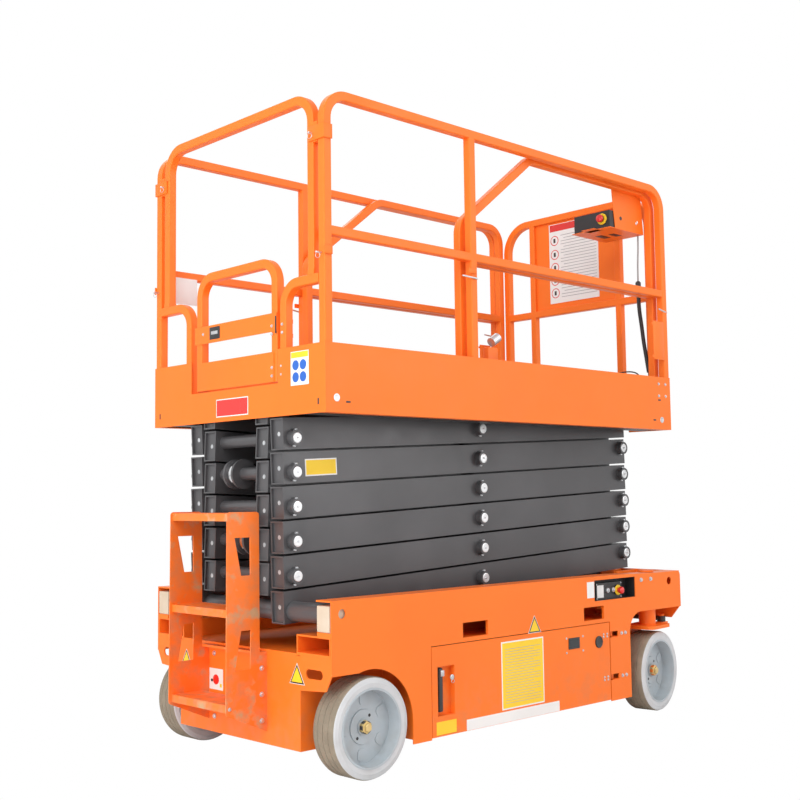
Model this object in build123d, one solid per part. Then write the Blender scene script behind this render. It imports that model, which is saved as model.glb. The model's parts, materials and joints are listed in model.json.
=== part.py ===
"""Self-propelled scissor lift, 14 m working height: chassis on four wheels, six pairs of
crossed arms, platform with a sliding extension deck.  Millimetres, +X to the steered
wheels, +Y to the far side, +Z up, origin on the ground under the middle of the machine."""
from build123d import *
from math import acos, atan, atan2, cos, degrees, hypot, pi, radians, sin, sqrt, tan
import os

os.makedirs("parts", exist_ok=True)

# ---- driving dimensions --------------------------------------------------------------
OVERALL_LENGTH = 2485.0      # back of the ladder to the front wall
CHASSIS_WIDTH = 1177.4       # over the side plates
CHASSIS_TOP = 676.0
SIDE_PLATE = 5.0
RUN_GAP = 0.08               # radial clearance of a pin in its bore
SEAT = 0.3                   # gap where one moving piece slides on another

WHEEL_R = 190.5
WHEEL_W = 127.0
RIM_R = 150.0                # where the tyre is bonded to the rim
WHEELBASE = OVERALL_LENGTH - 582.0
REAR_TRACK = CHASSIS_WIDTH - 118.4       # between the wheels' middle planes
FRONT_TRACK = CHASSIS_WIDTH - 136.4      # between the kingpins
REST_STEER = 7.2             # degrees the front wheels are turned as parked
AXLE_R = 18.0

LADDER_DEPTH = 193.5         # ladder stands this far behind the rear wall
FLOOR_Z = 462.0              # underside of the chassis floor
FLOOR_PLATE = 8.0
BELLY_BOTTOM = 107.0
POCKET_ROOF_Z = 490.0        # above the steered wheels
RAIL_BOX_Z = (470.0, 542.0)  # slide rail tube under the lower slide blocks
RAIL_BOX_WALL = 6.0

DOOR_Z = (105.0, FLOOR_Z)
DOOR_PLATE = 4.0
DOOR_HINGE_IN = 28.7         # hinge axis inside the side plate's outer face
TRAY_CLEAR = 12.0            # tray and its load stop short of the centre tub

LEVELS = 6
ARM_PINS = OVERALL_LENGTH - 333.8        # between an arm's end pins
LEVEL_RISE = 134.0           # height of one level when lowered
BASE_PIN_Z = 620.6
ARM_HEIGHT = 125.0
ARM_WIDTH = 80.0
ARM_WALL = 6.0
END_RECESS = 10.0            # end plates stand this far inside the tube's ends
DRAIN_R = 9.0
ARM_PIN_OFFSET = 17.0        # end pins off the arm's centre line
REAR_OVERHANG = 48.0
FRONT_OVERHANG = 40.0
INNER_ARM_Y = 140.0          # inner face of the inner arms
ARM_GAP = 16.5               # between an inner and an outer arm
PIN_R = 22.5
COLLAR_R = 31.0
COLLAR_LENGTH = 28.5         # pin collars on the outer arms' outer faces
CROSS_TUBE_R = 26.0
SLIDE_SHAFT_R = 38.0

CYLINDER_Y = 38.0            # lift cylinders stand this far either side of the middle
BARREL_R = 50.0
BARREL_LENGTH = ARM_PINS - 251.2
ROD_R = 30.0
EYE_WIDTH = 44.0
EYE_R = 50.0
LUG_R = 61.0
LUG_PLATE = 12.0
SHANK_LENGTH = 125.0

PLATFORM_LENGTH = OVERALL_LENGTH - 209.0
PLATFORM_WIDTH = 1178.0
PLATFORM_X = 70.0            # middle of the platform, ahead of the middle of the machine
SKIRT_BELOW_PIN = 51.6
SKIRT_HEIGHT = 264.0
SKIRT_PLATE = 3.0
DECK_ABOVE_PIN = 72.4        # deck underside above the top pins
DECK_PLATE = 6.0
TUBE = 38.0                  # guard rail tube, square
TUBE_CORNER = 5.0
INNER_TUBE = TUBE - 0.8      # mid rails and inner posts
RAIL_HEIGHT = 1117.0         # top rail above the main deck
MID_RAIL_DROP = 534.4        # mid rail's top below the top rail's
RAIL_BEND = 100.0
GATE_WIDTH = 559.0
EXTENSION_REACH = OVERALL_LENGTH - 971.5     # length of the extension deck's plate
EXTENSION_WIDTH = PLATFORM_WIDTH - 108.0
EXTENSION_GAP = 5.3          # extension plate above the main deck
EXTENSION_RAIL_DROP = 10.0   # extension rails run this much lower
FRONT_PANEL_POST_Y = 290.0
FRONT_HOOP_BEND = 151.0

# ---- places worked out from them ------------------------------------------------------
FRONT_X = OVERALL_LENGTH / 2
REAR_X = -OVERALL_LENGTH / 2
REAR_WALL_X = REAR_X + LADDER_DEPTH
REAR_AXLE_X = REAR_X + 386.5
FRONT_PIN_X = FRONT_X - 102.5
DOOR_X = (REAR_X + 707.5, FRONT_X - 595.5)
DOOR_HINGE_X = FRONT_X - 561.5
BELLY_BREAK_X = REAR_X + 612.5           # bulkhead between the rear box and the trays
SIDE_Y = CHASSIS_WIDTH / 2
SIDE_IN_Y = SIDE_Y - SIDE_PLATE
DOOR_HINGE_Y = SIDE_Y - DOOR_HINGE_IN
FLOOR_TOP = FLOOR_Z + FLOOR_PLATE
FRONT_AXLE_X = REAR_AXLE_X + WHEELBASE
REAR_WHEEL_Y = REAR_TRACK / 2
KINGPIN_Y = FRONT_TRACK / 2
TUB_HALF_WIDTH = SIDE_Y - 368.7          # centre tub between the two swing-out trays
REAR_BOX_HALF_WIDTH = REAR_WHEEL_Y - 124.5
NOSE_HALF_WIDTH = KINGPIN_Y - 230.5
RAIL_BOX_Y = (SIDE_Y - 204.7, SIDE_Y - 6.7)

PIN_ANGLE = degrees(atan2(LEVEL_RISE, sqrt(ARM_PINS**2 - LEVEL_RISE**2)))
PIN_SPAN = ARM_PINS * cos(radians(PIN_ANGLE))
REAR_PIN_X = FRONT_PIN_X - PIN_SPAN
MID_PIN_X = FRONT_PIN_X - PIN_SPAN / 2
ARM_SLOPE = PIN_ANGLE - degrees(atan(2 * ARM_PIN_OFFSET / ARM_PINS))
INNER_Y = (INNER_ARM_Y, INNER_ARM_Y + ARM_WIDTH)
OUTER_Y = (INNER_Y[1] + ARM_GAP, INNER_Y[1] + ARM_GAP + ARM_WIDTH)
PIN_END_Y = OUTER_Y[1] + COLLAR_LENGTH - 2
TOP_PIN_Z = BASE_PIN_Z + LEVELS * LEVEL_RISE

SKIRT_BOTTOM = TOP_PIN_Z - SKIRT_BELOW_PIN
SKIRT_TOP = SKIRT_BOTTOM + SKIRT_HEIGHT
DECK_UNDER = TOP_PIN_Z + DECK_ABOVE_PIN
DECK_TOP = DECK_UNDER + DECK_PLATE
PLAT_REAR_X = PLATFORM_X - PLATFORM_LENGTH / 2
PLAT_FRONT_X = PLATFORM_X + PLATFORM_LENGTH / 2
PLAT_Y = PLATFORM_WIDTH / 2
PLAT_IN_Y = PLAT_Y - SKIRT_PLATE
RAIL_Y = PLAT_IN_Y - TUBE / 2
RAIL_TOP_Z = DECK_TOP + RAIL_HEIGHT - TUBE / 2      # centre of the top rail
MID_RAIL_Z = RAIL_TOP_Z - MID_RAIL_DROP
REAR_POST_X = PLAT_REAR_X + SKIRT_PLATE + TUBE / 2
FRONT_POST_X = PLAT_FRONT_X - TUBE / 2
EXT_UNDER = DECK_TOP + EXTENSION_GAP
EXT_TOP = EXT_UNDER + DECK_PLATE
EXT_Y = EXTENSION_WIDTH / 2
EXT_FRONT_X = FRONT_X
EXT_REAR_X = EXT_FRONT_X - EXTENSION_REACH
EXT_RAIL_Y = EXT_Y - TUBE / 2
FRONT_HOOP_POST_Y = EXT_Y - 54.0
EXT_TOP_RAIL_Z = RAIL_TOP_Z - EXTENSION_RAIL_DROP
FRONT_HOOP_X = EXT_FRONT_X - SKIRT_PLATE - TUBE / 2


# ---- shared shapes ---------------------------------------------------------------------
def block(x, y, z):
    """A box between low and high corners given as (low, high) pairs."""
    size = (x[1] - x[0], y[1] - y[0], z[1] - z[0])
    middle = ((x[0] + x[1]) / 2, (y[0] + y[1]) / 2, (z[0] + z[1]) / 2)
    return Pos(*middle) * Box(*size)


def bar(radius, start, end):
    """A round bar between two points."""
    axis = Vector(*end) - Vector(*start)
    return Plane(origin=start, z_dir=axis) * Cylinder(
        radius, axis.length, align=(Align.CENTER, Align.CENTER, Align.MIN))


def across(radius, x, z, y):
    """A round bar along Y at (x, z), over the pair y."""
    return bar(radius, (x, y[0], z), (x, y[1], z))


def upright(radius, x, y, z):
    """A round bar along Z at (x, y), over the pair z."""
    return bar(radius, (x, y, z[0]), (x, y, z[1]))


def far_side(shape):
    """The same shape mirrored to the other side of the machine."""
    return mirror(shape, about=Plane.XZ)


def both_sides(shape):
    return Part() + shape + far_side(shape)


def side_sheet(outline, y):
    """A sheet cut to an outline of (x, z) points, over the pair y."""
    points = [(px, y[0], pz) for px, pz in outline]
    return extrude(make_face(Polyline(*points, close=True)), amount=y[1] - y[0], dir=(0, 1, 0))


def cross_sheet(outline, x):
    """A sheet cut to an outline of (y, z) points, over the pair x."""
    points = [(x[0], py, pz) for py, pz in outline]
    return extrude(make_face(Polyline(*points, close=True)), amount=x[1] - x[0], dir=(1, 0, 0))


def tube(points, normal, bend=RAIL_BEND, size=TUBE):
    """Square tube along a bent line that lies in the plane with this normal."""
    path = FilletPolyline(*points, radius=bend) if len(points) > 2 else Line(*points)
    start = Plane(origin=path @ 0, x_dir=normal, z_dir=path % 0)
    return sweep(start * RectangleRounded(size, size, TUBE_CORNER), path=path)


def side_tube(points, y, bend=RAIL_BEND, size=TUBE):
    return tube([(px, y, pz) for px, pz in points], (0, 1, 0), bend, size)


def hoop_tube(points, x, bend=RAIL_BEND, size=TUBE):
    return tube([(x, py, pz) for py, pz in points], (1, 0, 0), bend, size)


def save(name, *shapes):
    export_step(Compound([solid for shape in shapes for solid in shape.solids()]), f"parts/{name}.step")


# ---- chassis ---------------------------------------------------------------------------
REAR_ARCH_R = 219.0
REAR_ARCH_TOP = 401.0
REAR_ARCH_FLAT_X = REAR_AXLE_X + 46.0
FRONT_ARCH_X = FRONT_AXLE_X - 242.0
ARCH_CORNER_R = 90.0
TOP_FALL = 9.0                  # the front of the top edge is this much lower
TOP_FALL_X = (FRONT_X - 589.5, FRONT_X - 205.5)
FORK_POCKETS_X = ((REAR_X + 893.5, REAR_X + 1045.5), (FRONT_X - 789.5, FRONT_X - 638.5))
FORK_POCKET_Z = (479.0, 539.0)
RECESS_X = (FRONT_X - 706.5, FRONT_X - 384.5)
RECESS_Z = (563.0, 658.0)
RECESS_DEPTH = 60.0
TIE_HOLE_X, TIE_HOLE_Z, TIE_HOLE_R = FRONT_X - 98.5, 622.0, 19.0
PIN_HOLE_X, PIN_HOLE_Z, PIN_HOLE_R = REAR_X + 245.5, 626.0, 18.0
HINGE_SLOTS_Z = ((193.0, 220.0), (388.0, 416.0))
HINGE_SLOT_END = DOOR_HINGE_X + 28.0
TOP_FLANGE_IN = SIDE_Y - 88.7
FLANGE = 6.0
FRONT_TOP = CHASSIS_TOP - TOP_FALL
FRONT_EDGE_R = 24.0

TOP_EDGE = [(REAR_WALL_X, CHASSIS_TOP), (TOP_FALL_X[0], CHASSIS_TOP),
            (TOP_FALL_X[1], FRONT_TOP), (FRONT_X - SIDE_PLATE, FRONT_TOP)]


def side_plate(with_recess):
    """Near side plate with its arches, door opening, fork pockets and top flange."""
    y = (-SIDE_Y, -SIDE_IN_Y)
    outline = TOP_EDGE[:-1] + [(FRONT_X, FRONT_TOP), (FRONT_X, POCKET_ROOF_Z), (FRONT_ARCH_X, POCKET_ROOF_Z),
                               (FRONT_ARCH_X, BELLY_BOTTOM - 9), (REAR_WALL_X, BELLY_BOTTOM - 9)]
    plate = side_sheet(outline, y)
    front_edge = plate.edges().filter_by(Axis.Y).group_by(Axis.X)[-1].sort_by(Axis.Z)[-1]
    plate = fillet(front_edge, FRONT_EDGE_R)
    arch = plate.edges().filter_by(Axis.Y).filter_by(
        lambda e: abs(e.center().X - FRONT_ARCH_X) < 1 and abs(e.center().Z - POCKET_ROOF_Z) < 1)
    plate = fillet(arch, ARCH_CORNER_R)
    deep = (y[0] - 1, y[1] + 1)
    plate -= across(REAR_ARCH_R, REAR_AXLE_X, WHEEL_R, deep)
    plate -= block((REAR_WALL_X - 1, REAR_ARCH_FLAT_X), deep, (0, REAR_ARCH_TOP))
    plate -= block((REAR_WALL_X - 1, REAR_AXLE_X + REAR_ARCH_R), deep, (0, WHEEL_R))
    plate -= block(DOOR_X, deep, (0, FLOOR_Z))
    for slot in HINGE_SLOTS_Z:
        plate -= block((DOOR_X[1] - 1, HINGE_SLOT_END), deep, slot)
    for pocket in FORK_POCKETS_X:
        plate -= block(pocket, deep, FORK_POCKET_Z)
    plate -= across(TIE_HOLE_R, TIE_HOLE_X, TIE_HOLE_Z, deep)
    plate -= across(PIN_HOLE_R, PIN_HOLE_X, PIN_HOLE_Z, deep)
    if with_recess:
        plate -= block(RECESS_X, deep, RECESS_Z)
    lip = [(px, pz - FLANGE) for px, pz in reversed(TOP_EDGE)]
    flange = side_sheet(TOP_EDGE + lip, (-SIDE_IN_Y, -TOP_FLANGE_IN))
    flange -= upright(KINGPIN_R + 2, FRONT_AXLE_X, -KINGPIN_Y, (FRONT_TOP - FLANGE - 1, FRONT_TOP + 1))
    for slot in HINGE_SLOTS_Z:
        flange += upright(HINGE_PIN_R, DOOR_HINGE_X, -DOOR_HINGE_Y, (slot[0] - 14, slot[1] + 14))
        for z in ((slot[0] - 10, slot[0] + 2.2), (slot[1] - 2.2, slot[1] + 10)):
            flange += block((DOOR_HINGE_X - 11, DOOR_HINGE_X + 40), (-SIDE_IN_Y, -DOOR_HINGE_Y + 11), z)
    return plate + flange


HINGE_PIN_R = 7.0
KINGPIN_R = 25.0
save("side_plate_near", side_plate(True))
save("side_plate_far", far_side(side_plate(False)))

WEAR_STRIP_Y = (RAIL_BOX_Y[0] + 122, RAIL_BOX_Y[1])
SLIDE_BLOCK_Y = (SIDE_Y - 82.7, SIDE_Y - 10.7)
SLIDE_BLOCK_Z = (558.0, 656.0)
SLIDE_BLOCK_LENGTH = 84.0
RAIL_END_X = FRONT_ARCH_X + 10.0
FRONT_WALL_LOW = 431.0
FRONT_CHAMFER_Y = SIDE_Y - 54.7
PIVOT_LUG_X = FRONT_PIN_X - 73
PIVOT_PLATES_Y = ((INNER_Y[1] + 4, INNER_Y[1] + 16), (OUTER_Y[1] + 2, OUTER_Y[1] + 14))
HOUSING_R = 41.0
HOUSING_Z = (417.0, POCKET_ROOF_Z + 6)


def chassis_frame():
    """Floor, slide rails, wheel pocket roofs, front wall, pivot brackets, kingpin housings."""
    inside = (-SIDE_IN_Y, -RAIL_BOX_Y[0])
    floor = block((REAR_WALL_X, FRONT_X - SIDE_PLATE), (-RAIL_BOX_Y[0], RAIL_BOX_Y[0]), (FLOOR_Z, FLOOR_TOP))
    rail = block((REAR_WALL_X, RAIL_END_X), (-RAIL_BOX_Y[1], -RAIL_BOX_Y[0]), RAIL_BOX_Z)
    wall = RAIL_BOX_WALL
    rail -= block((REAR_WALL_X - 1, RAIL_END_X + 1), (-RAIL_BOX_Y[1] + wall, -RAIL_BOX_Y[0] - wall),
                  (RAIL_BOX_Z[0] + wall, RAIL_BOX_Z[1] - wall))
    rail += block((REAR_WALL_X, RAIL_END_X), (-SIDE_IN_Y, -WEAR_STRIP_Y[0]),
                  (RAIL_BOX_Z[1], SLIDE_BLOCK_Z[0] - SEAT))
    rail += block((REAR_WALL_X, RAIL_END_X), inside, (FLOOR_TOP - wall, FLOOR_TOP + 1))
    for pocket in FORK_POCKETS_X:
        rail -= block(pocket, (-SIDE_Y, -RAIL_BOX_Y[0] + 1), FORK_POCKET_Z)
    rail -= block((RECESS_X[0] - 20, RECESS_X[1] + 20), (-SIDE_Y, -SIDE_Y + RECESS_DEPTH + 25),
                  (RAIL_BOX_Z[1] + 2, CHASSIS_TOP))
    roof = block((FRONT_ARCH_X - 4, FRONT_X - SIDE_PLATE), inside, (POCKET_ROOF_Z, POCKET_ROOF_Z + 6))
    roof += block((RAIL_END_X - 4, RAIL_END_X), inside, (FLOOR_Z, POCKET_ROOF_Z + 6))
    roof += block((FRONT_ARCH_X, FRONT_X - SIDE_PLATE), (-RAIL_BOX_Y[0], -RAIL_BOX_Y[0] + 6),
                  (FLOOR_Z, POCKET_ROOF_Z + 6))
    housing = upright(HOUSING_R, FRONT_AXLE_X, -KINGPIN_Y, HOUSING_Z)
    housing += upright(HOUSING_R - 6, FRONT_AXLE_X, -KINGPIN_Y, (HOUSING_Z[1] - 1, FRONT_TOP - FLANGE))
    pivot = Part()
    for plate_y in PIVOT_PLATES_Y:
        pivot += block((PIVOT_LUG_X, FRONT_X - SIDE_PLATE), (-plate_y[1], -plate_y[0]),
                       (FLOOR_TOP, FRONT_TOP - 4))
    pivot += block((PIVOT_LUG_X, FRONT_X - SIDE_PLATE), (-PIVOT_PLATES_Y[1][0], -PIVOT_PLATES_Y[0][1]),
                   (FLOOR_TOP, FLOOR_TOP + 40))
    half = rail + roof + housing + pivot
    half -= across(PIN_R + RUN_GAP, FRONT_PIN_X, BASE_PIN_Z, (-OUTER_Y[1] - 60, -INNER_Y[0]))
    half -= upright(KINGPIN_R + RUN_GAP, FRONT_AXLE_X, -KINGPIN_Y, (HOUSING_Z[0] - 1, FRONT_TOP))
    wall_outline = [(-SIDE_IN_Y, FRONT_TOP), (SIDE_IN_Y, FRONT_TOP), (SIDE_IN_Y, POCKET_ROOF_Z),
                    (FRONT_CHAMFER_Y, FRONT_WALL_LOW), (-FRONT_CHAMFER_Y, FRONT_WALL_LOW),
                    (-SIDE_IN_Y, POCKET_ROOF_Z)]
    front = cross_sheet(wall_outline, (FRONT_X - SIDE_PLATE, FRONT_X))
    return half + far_side(half) + floor + front


save("chassis_frame", chassis_frame())

REAR_WALL_PLATE = 6.0
REAR_WING_Z = (334.0, 399.0)
SLOT_Y, SLOT_Z = (SIDE_Y - 150.7, SIDE_Y - 51.7), (383.0, 418.0)
WING_BREAK_Y = SIDE_Y - 34.7


def chassis_belly():
    """Rear box between the rear wheels, centre tub between the trays, nose between the front wheels."""
    tub_front = FRONT_ARCH_X
    tub = block((BELLY_BREAK_X, tub_front), (-TUB_HALF_WIDTH, TUB_HALF_WIDTH), (BELLY_BOTTOM + 6, FLOOR_Z))
    rear = block((REAR_WALL_X, BELLY_BREAK_X), (-REAR_BOX_HALF_WIDTH, REAR_BOX_HALF_WIDTH),
                 (BELLY_BOTTOM, FLOOR_Z))
    wing_y, wing_top = -REAR_BOX_HALF_WIDTH + 1, FLOOR_TOP - RAIL_BOX_WALL
    wing = cross_sheet([(wing_y, REAR_WING_Z[0]), (-WING_BREAK_Y, REAR_WING_Z[0] + 10),
                        (-SIDE_IN_Y, REAR_WING_Z[1]), (-SIDE_IN_Y, wing_top), (wing_y, wing_top)],
                       (REAR_WALL_X, REAR_WALL_X + REAR_WALL_PLATE))
    slot_r = (SLOT_Z[1] - SLOT_Z[0]) / 2
    slot_x = (REAR_WALL_X - 1, REAR_WALL_X + REAR_WALL_PLATE + 1)
    slot = block(slot_x, (-SLOT_Y[1] + slot_r, -SLOT_Y[0] - slot_r), SLOT_Z)
    for slot_y in (-SLOT_Y[1] + slot_r, -SLOT_Y[0] - slot_r):
        slot += bar(slot_r, (slot_x[0], slot_y, sum(SLOT_Z) / 2), (slot_x[1], slot_y, sum(SLOT_Z) / 2))
    wing -= slot
    bulkhead = block((BELLY_BREAK_X, BELLY_BREAK_X + 6), (-SIDE_IN_Y, wing_y), (BELLY_BOTTOM + 6, wing_top))
    front_bulkhead = block((tub_front - 6, tub_front), (-SIDE_IN_Y, -TUB_HALF_WIDTH + 1),
                           (BELLY_BOTTOM + 6, FLOOR_Z))
    nose_low, nose_front = BELLY_BOTTOM + 18, FRONT_X - 75
    nose_outline = [(tub_front - 1, nose_low), (nose_front - 45, nose_low), (nose_front, nose_low + 52),
                    (nose_front, 390), (tub_front - 1, 390)]
    nose = side_sheet(nose_outline, (-NOSE_HALF_WIDTH, NOSE_HALF_WIDTH))
    hangers = block((FRONT_X - 300, FRONT_X - 200), (-60, 60), (389, FLOOR_Z))
    return tub + rear + both_sides(wing + bulkhead + front_bulkhead) + nose + hangers


save("chassis_belly", chassis_belly())

LADDER_HALF_WIDTH = 199.0
LADDER_PLATE = 5.0
LADDER_CORNER_R = 14.0
TREAD_X = (14.0, 156.0)      # treads from the ladder's back face
EYE_NOTCH = 36.0             # the top tread is cut back this far where the lower cylinder's eye passes
STEPS_Z = (275.0, 633.0, 1000.0)
LADDER_OUTLINE = [(6.5, 1005), (156.5, 1004), (158.5, 462), (LADDER_DEPTH, 448), (LADDER_DEPTH, 156), (0, 239)]
UPPER_CUT = [(40.5, 906), (114.5, 906), (115.5, 760), (71.5, 760)]
LOWER_CUT = [(70.5, 550), (116.5, 550), (114.5, 402), (42.5, 402)]


def ladder():
    """Two side plates on the rear wall with three folded steps between them."""
    y = (-LADDER_HALF_WIDTH, -LADDER_HALF_WIDTH + LADDER_PLATE)
    plate = side_sheet([(REAR_X + px, pz) for px, pz in LADDER_OUTLINE], y)
    for cut in (UPPER_CUT, LOWER_CUT):
        plate -= side_sheet([(REAR_X + px, pz) for px, pz in cut], (y[0] - 1, y[1] + 1))
    corners = plate.edges().filter_by(Axis.Y).filter_by(
        lambda e: e.center().Z > STEPS_Z[-1] or abs(e.center().Z - LADDER_OUTLINE[-1][1]) < 1)
    steps = both_sides(fillet(corners, LADDER_CORNER_R))
    tread_y = (-LADDER_HALF_WIDTH + 1, LADDER_HALF_WIDTH - 1)
    tread_back = REAR_X + TREAD_X[0]
    for top in STEPS_Z:
        steps += block((tread_back, REAR_X + TREAD_X[1]), tread_y, (top - 4, top))
        steps += block((tread_back, tread_back + 4), tread_y, (top - 30, top))
    front = REAR_X + TREAD_X[1]
    notch_y = (-CYLINDER_Y - EYE_WIDTH / 2 - 6, -CYLINDER_Y + EYE_WIDTH / 2 + 6)
    steps -= block((front - EYE_NOTCH, front + 1), notch_y, (STEPS_Z[-1] - 5, STEPS_Z[-1] + 1))
    back = block((REAR_WALL_X - 36, REAR_WALL_X), tread_y, (FLOOR_Z - 10, FLOOR_Z))
    return steps + back


save("ladder", ladder())

PANEL_X = (RECESS_X[0] + 46.0, RECESS_X[1] - 76.0)
STOP_X, STOP_Z = PANEL_X[1] - 24.0, 601.0
PANEL_Z = (563.5, 640.0)


def ground_control():
    """Recess pan behind the near side plate with the black control box and its stop button."""
    pan_y = (-SIDE_IN_Y, -SIDE_Y + RECESS_DEPTH)
    pan = block((RECESS_X[0] - 4, RECESS_X[1] + 4), pan_y, (RECESS_Z[0] - 4, RECESS_Z[1] + 4))
    pan -= block(RECESS_X, (pan_y[0] - 1, pan_y[1] - 3), RECESS_Z)
    box_face = -SIDE_Y + 26
    pan += block(PANEL_X, (box_face, pan_y[1] - 2), PANEL_Z)
    pan += bar(14, (STOP_X, box_face - 22, STOP_Z), (STOP_X, box_face + 1, STOP_Z))
    return pan


save("ground_control", ground_control())


# ---- wheels, axles, steering -------------------------------------------------------------
def tyre_at(x, y):
    """Solid tyre with a flat tread and rounded shoulders; its axis is along Y."""
    half = WHEEL_W / 2
    shoulder = 8.0
    profile = [(RIM_R, -half), (WHEEL_R - shoulder, -half), (WHEEL_R, -half + shoulder),
               (WHEEL_R, half - shoulder), (WHEEL_R - shoulder, half), (RIM_R, half)]
    face = make_face(Polyline(*[(x + r, y + w, WHEEL_R) for r, w in profile], close=True))
    return revolve(face, axis=Axis((x, y, WHEEL_R), (0, 1, 0)))


RIM_WALL = 8.0
BAND_TAPER = 5.0             # the dish narrows by this much down to its disc
DISC_DEPTH = 56.0            # from the outer face in to the wheel disc
DISC_PLATE = 12.0
BOSS_R, BOSS_RISE = 66.0, 5.0
HUB_R = 31.0
HUB_LENGTH = 10.0
PADS = 6
PAD_OUTLINE = [(82, -13), (92, -21), (120, -21), (126, -10), (126, 10), (120, 21), (92, 21), (82, 13)]
PAD_RISE = 3.0
PAD_TURN = 27.0              # degrees the first embossed pad stands off the horizontal


def rim_at(x, y, outward):
    """Dished rim: band, flat disc with a low boss, hub and embossed pads, open to the outward side."""
    half = WHEEL_W / 2
    face = y + outward * half
    disc = face - outward * DISC_DEPTH
    band_r = RIM_R - RIM_WALL
    bore_r = AXLE_R + RUN_GAP
    boss, hub, back = disc + outward * BOSS_RISE, disc + outward * HUB_LENGTH, disc - outward * DISC_PLATE
    stations = [(RIM_R, face - outward * WHEEL_W), (RIM_R, face), (band_r, face), (band_r - BAND_TAPER, disc),
                (BOSS_R, disc), (BOSS_R - 2, boss), (HUB_R, boss), (HUB_R, hub), (bore_r, hub), (bore_r, back),
                (band_r - BAND_TAPER - 2, back), (band_r, face - outward * WHEEL_W)]
    profile = make_face(Polyline(*[(x + r, w, WHEEL_R) for r, w in stations], close=True))
    rim = revolve(profile, axis=Axis((x, y, WHEEL_R), (0, 1, 0)))
    on_disc = Plane(origin=(x, disc - outward, WHEEL_R), z_dir=(0, outward, 0), x_dir=(1, 0, 0))
    pad = extrude(make_face(Polyline(*PAD_OUTLINE, close=True)), amount=PAD_RISE + 1)
    for number in range(PADS):
        rim += on_disc * (Rot(0, 0, PAD_TURN + number * 360 / PADS) * pad)
    return rim


def steer(shape, side):
    """Turn a front wheel piece about its kingpin to the angle it is parked at."""
    return shape.rotate(Axis((FRONT_AXLE_X, side * KINGPIN_Y, 0), (0, 0, 1)), REST_STEER)


for end, x, y in (("rear", REAR_AXLE_X, REAR_WHEEL_Y), ("front", FRONT_AXLE_X, KINGPIN_Y)):
    for name, side in (("near", -1), ("far", 1)):
        tyre, rim = tyre_at(x, side * y), rim_at(x, side * y, side)
        if end == "front":
            tyre, rim = steer(tyre, side), steer(rim, side)
        save(f"tyre_{end}_{name}", tyre)
        save(f"rim_{end}_{name}", rim)

BRAKE_R = 78.0
STUB_END = WHEEL_W / 2 - DISC_DEPTH + HUB_LENGTH + 16      # stub axle past the wheel's middle plane
AXLE_NUT = 6.0
SHOULDER_R = 36.0
HUB_INNER = WHEEL_W / 2 - DISC_DEPTH - DISC_PLATE          # hub's inner face from the middle plane


def rear_axle():
    """Brake housings on the rear box with the stub axles that carry the rear wheels."""
    brake_end = REAR_WHEEL_Y - WHEEL_W / 2 - 8
    hub_in = REAR_WHEEL_Y + HUB_INNER - SEAT
    half = across(BRAKE_R, REAR_AXLE_X, WHEEL_R, (-brake_end, -REAR_BOX_HALF_WIDTH))
    half += across(SHOULDER_R, REAR_AXLE_X, WHEEL_R, (-hub_in, -brake_end + 1))
    half += across(AXLE_R, REAR_AXLE_X, WHEEL_R, (-REAR_WHEEL_Y - STUB_END, -hub_in + 1))
    half += across(AXLE_R + AXLE_NUT, REAR_AXLE_X, WHEEL_R,
                   (-REAR_WHEEL_Y - STUB_END, -REAR_WHEEL_Y - STUB_END + 15))
    return both_sides(half)


save("rear_axle", rear_axle())

KNUCKLE_TOP_Z = (396.0, 412.0)
KNUCKLE_LEG_Y = (73.5, 88.5)        # inboard of the kingpin
MOTOR_R = 75.0
MOTOR_END_Y = 175.5
STEER_ARM = 150.0
TRACK_ROD_Z = (415.0, 439.0)
TRACK_PIN_R = 10.0


def knuckle(side):
    """Top plate and kingpin, inner leg with drive motor and stub axle, steering arm ahead."""
    x, y = FRONT_AXLE_X, side * KINGPIN_Y

    def lateral(inboard):
        """Sorted y pair from two distances inboard of the kingpin."""
        return tuple(sorted(y - side * d for d in inboard))

    part = block((x - 97, x + 103), lateral((-79.5, 88.5)), KNUCKLE_TOP_Z)
    part = fillet(part.edges().filter_by(Axis.Z), 30)
    part += block((x + 60, x + STEER_ARM + 24), (y - 24, y + 24), KNUCKLE_TOP_Z)
    part += block((x - 75, x + 75), lateral(KNUCKLE_LEG_Y), (WHEEL_R - 75, KNUCKLE_TOP_Z[0] + 1))
    part += across(MOTOR_R, x, WHEEL_R, lateral((KNUCKLE_LEG_Y[1] - 1, MOTOR_END_Y)))
    part += across(SHOULDER_R, x, WHEEL_R, lateral((-HUB_INNER + SEAT, KNUCKLE_LEG_Y[0] + 1)))
    part += across(AXLE_R, x, WHEEL_R, lateral((-STUB_END, -HUB_INNER + 1)))
    part += across(AXLE_R + AXLE_NUT, x, WHEEL_R, lateral((-STUB_END, -STUB_END + 15)))
    part += upright(HOUSING_R, x, y, (KNUCKLE_TOP_Z[1] - 1, HOUSING_Z[0] - SEAT))
    part += upright(KINGPIN_R, x, y, (KNUCKLE_TOP_Z[1] - 1, FRONT_TOP + 2))
    part += upright(HOUSING_R - 4, x, y, (FRONT_TOP + 1.2, FRONT_TOP + 10))
    part += upright(TRACK_PIN_R, x + STEER_ARM, y, (KNUCKLE_TOP_Z[1] - 1, TRACK_ROD_Z[1] + 10))
    part += upright(TRACK_PIN_R + 5, x + STEER_ARM, y, (TRACK_ROD_Z[1] + SEAT, TRACK_ROD_Z[1] + 10))
    return steer(part, side)


save("knuckle_near", knuckle(-1))
save("knuckle_far", knuckle(1))


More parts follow.
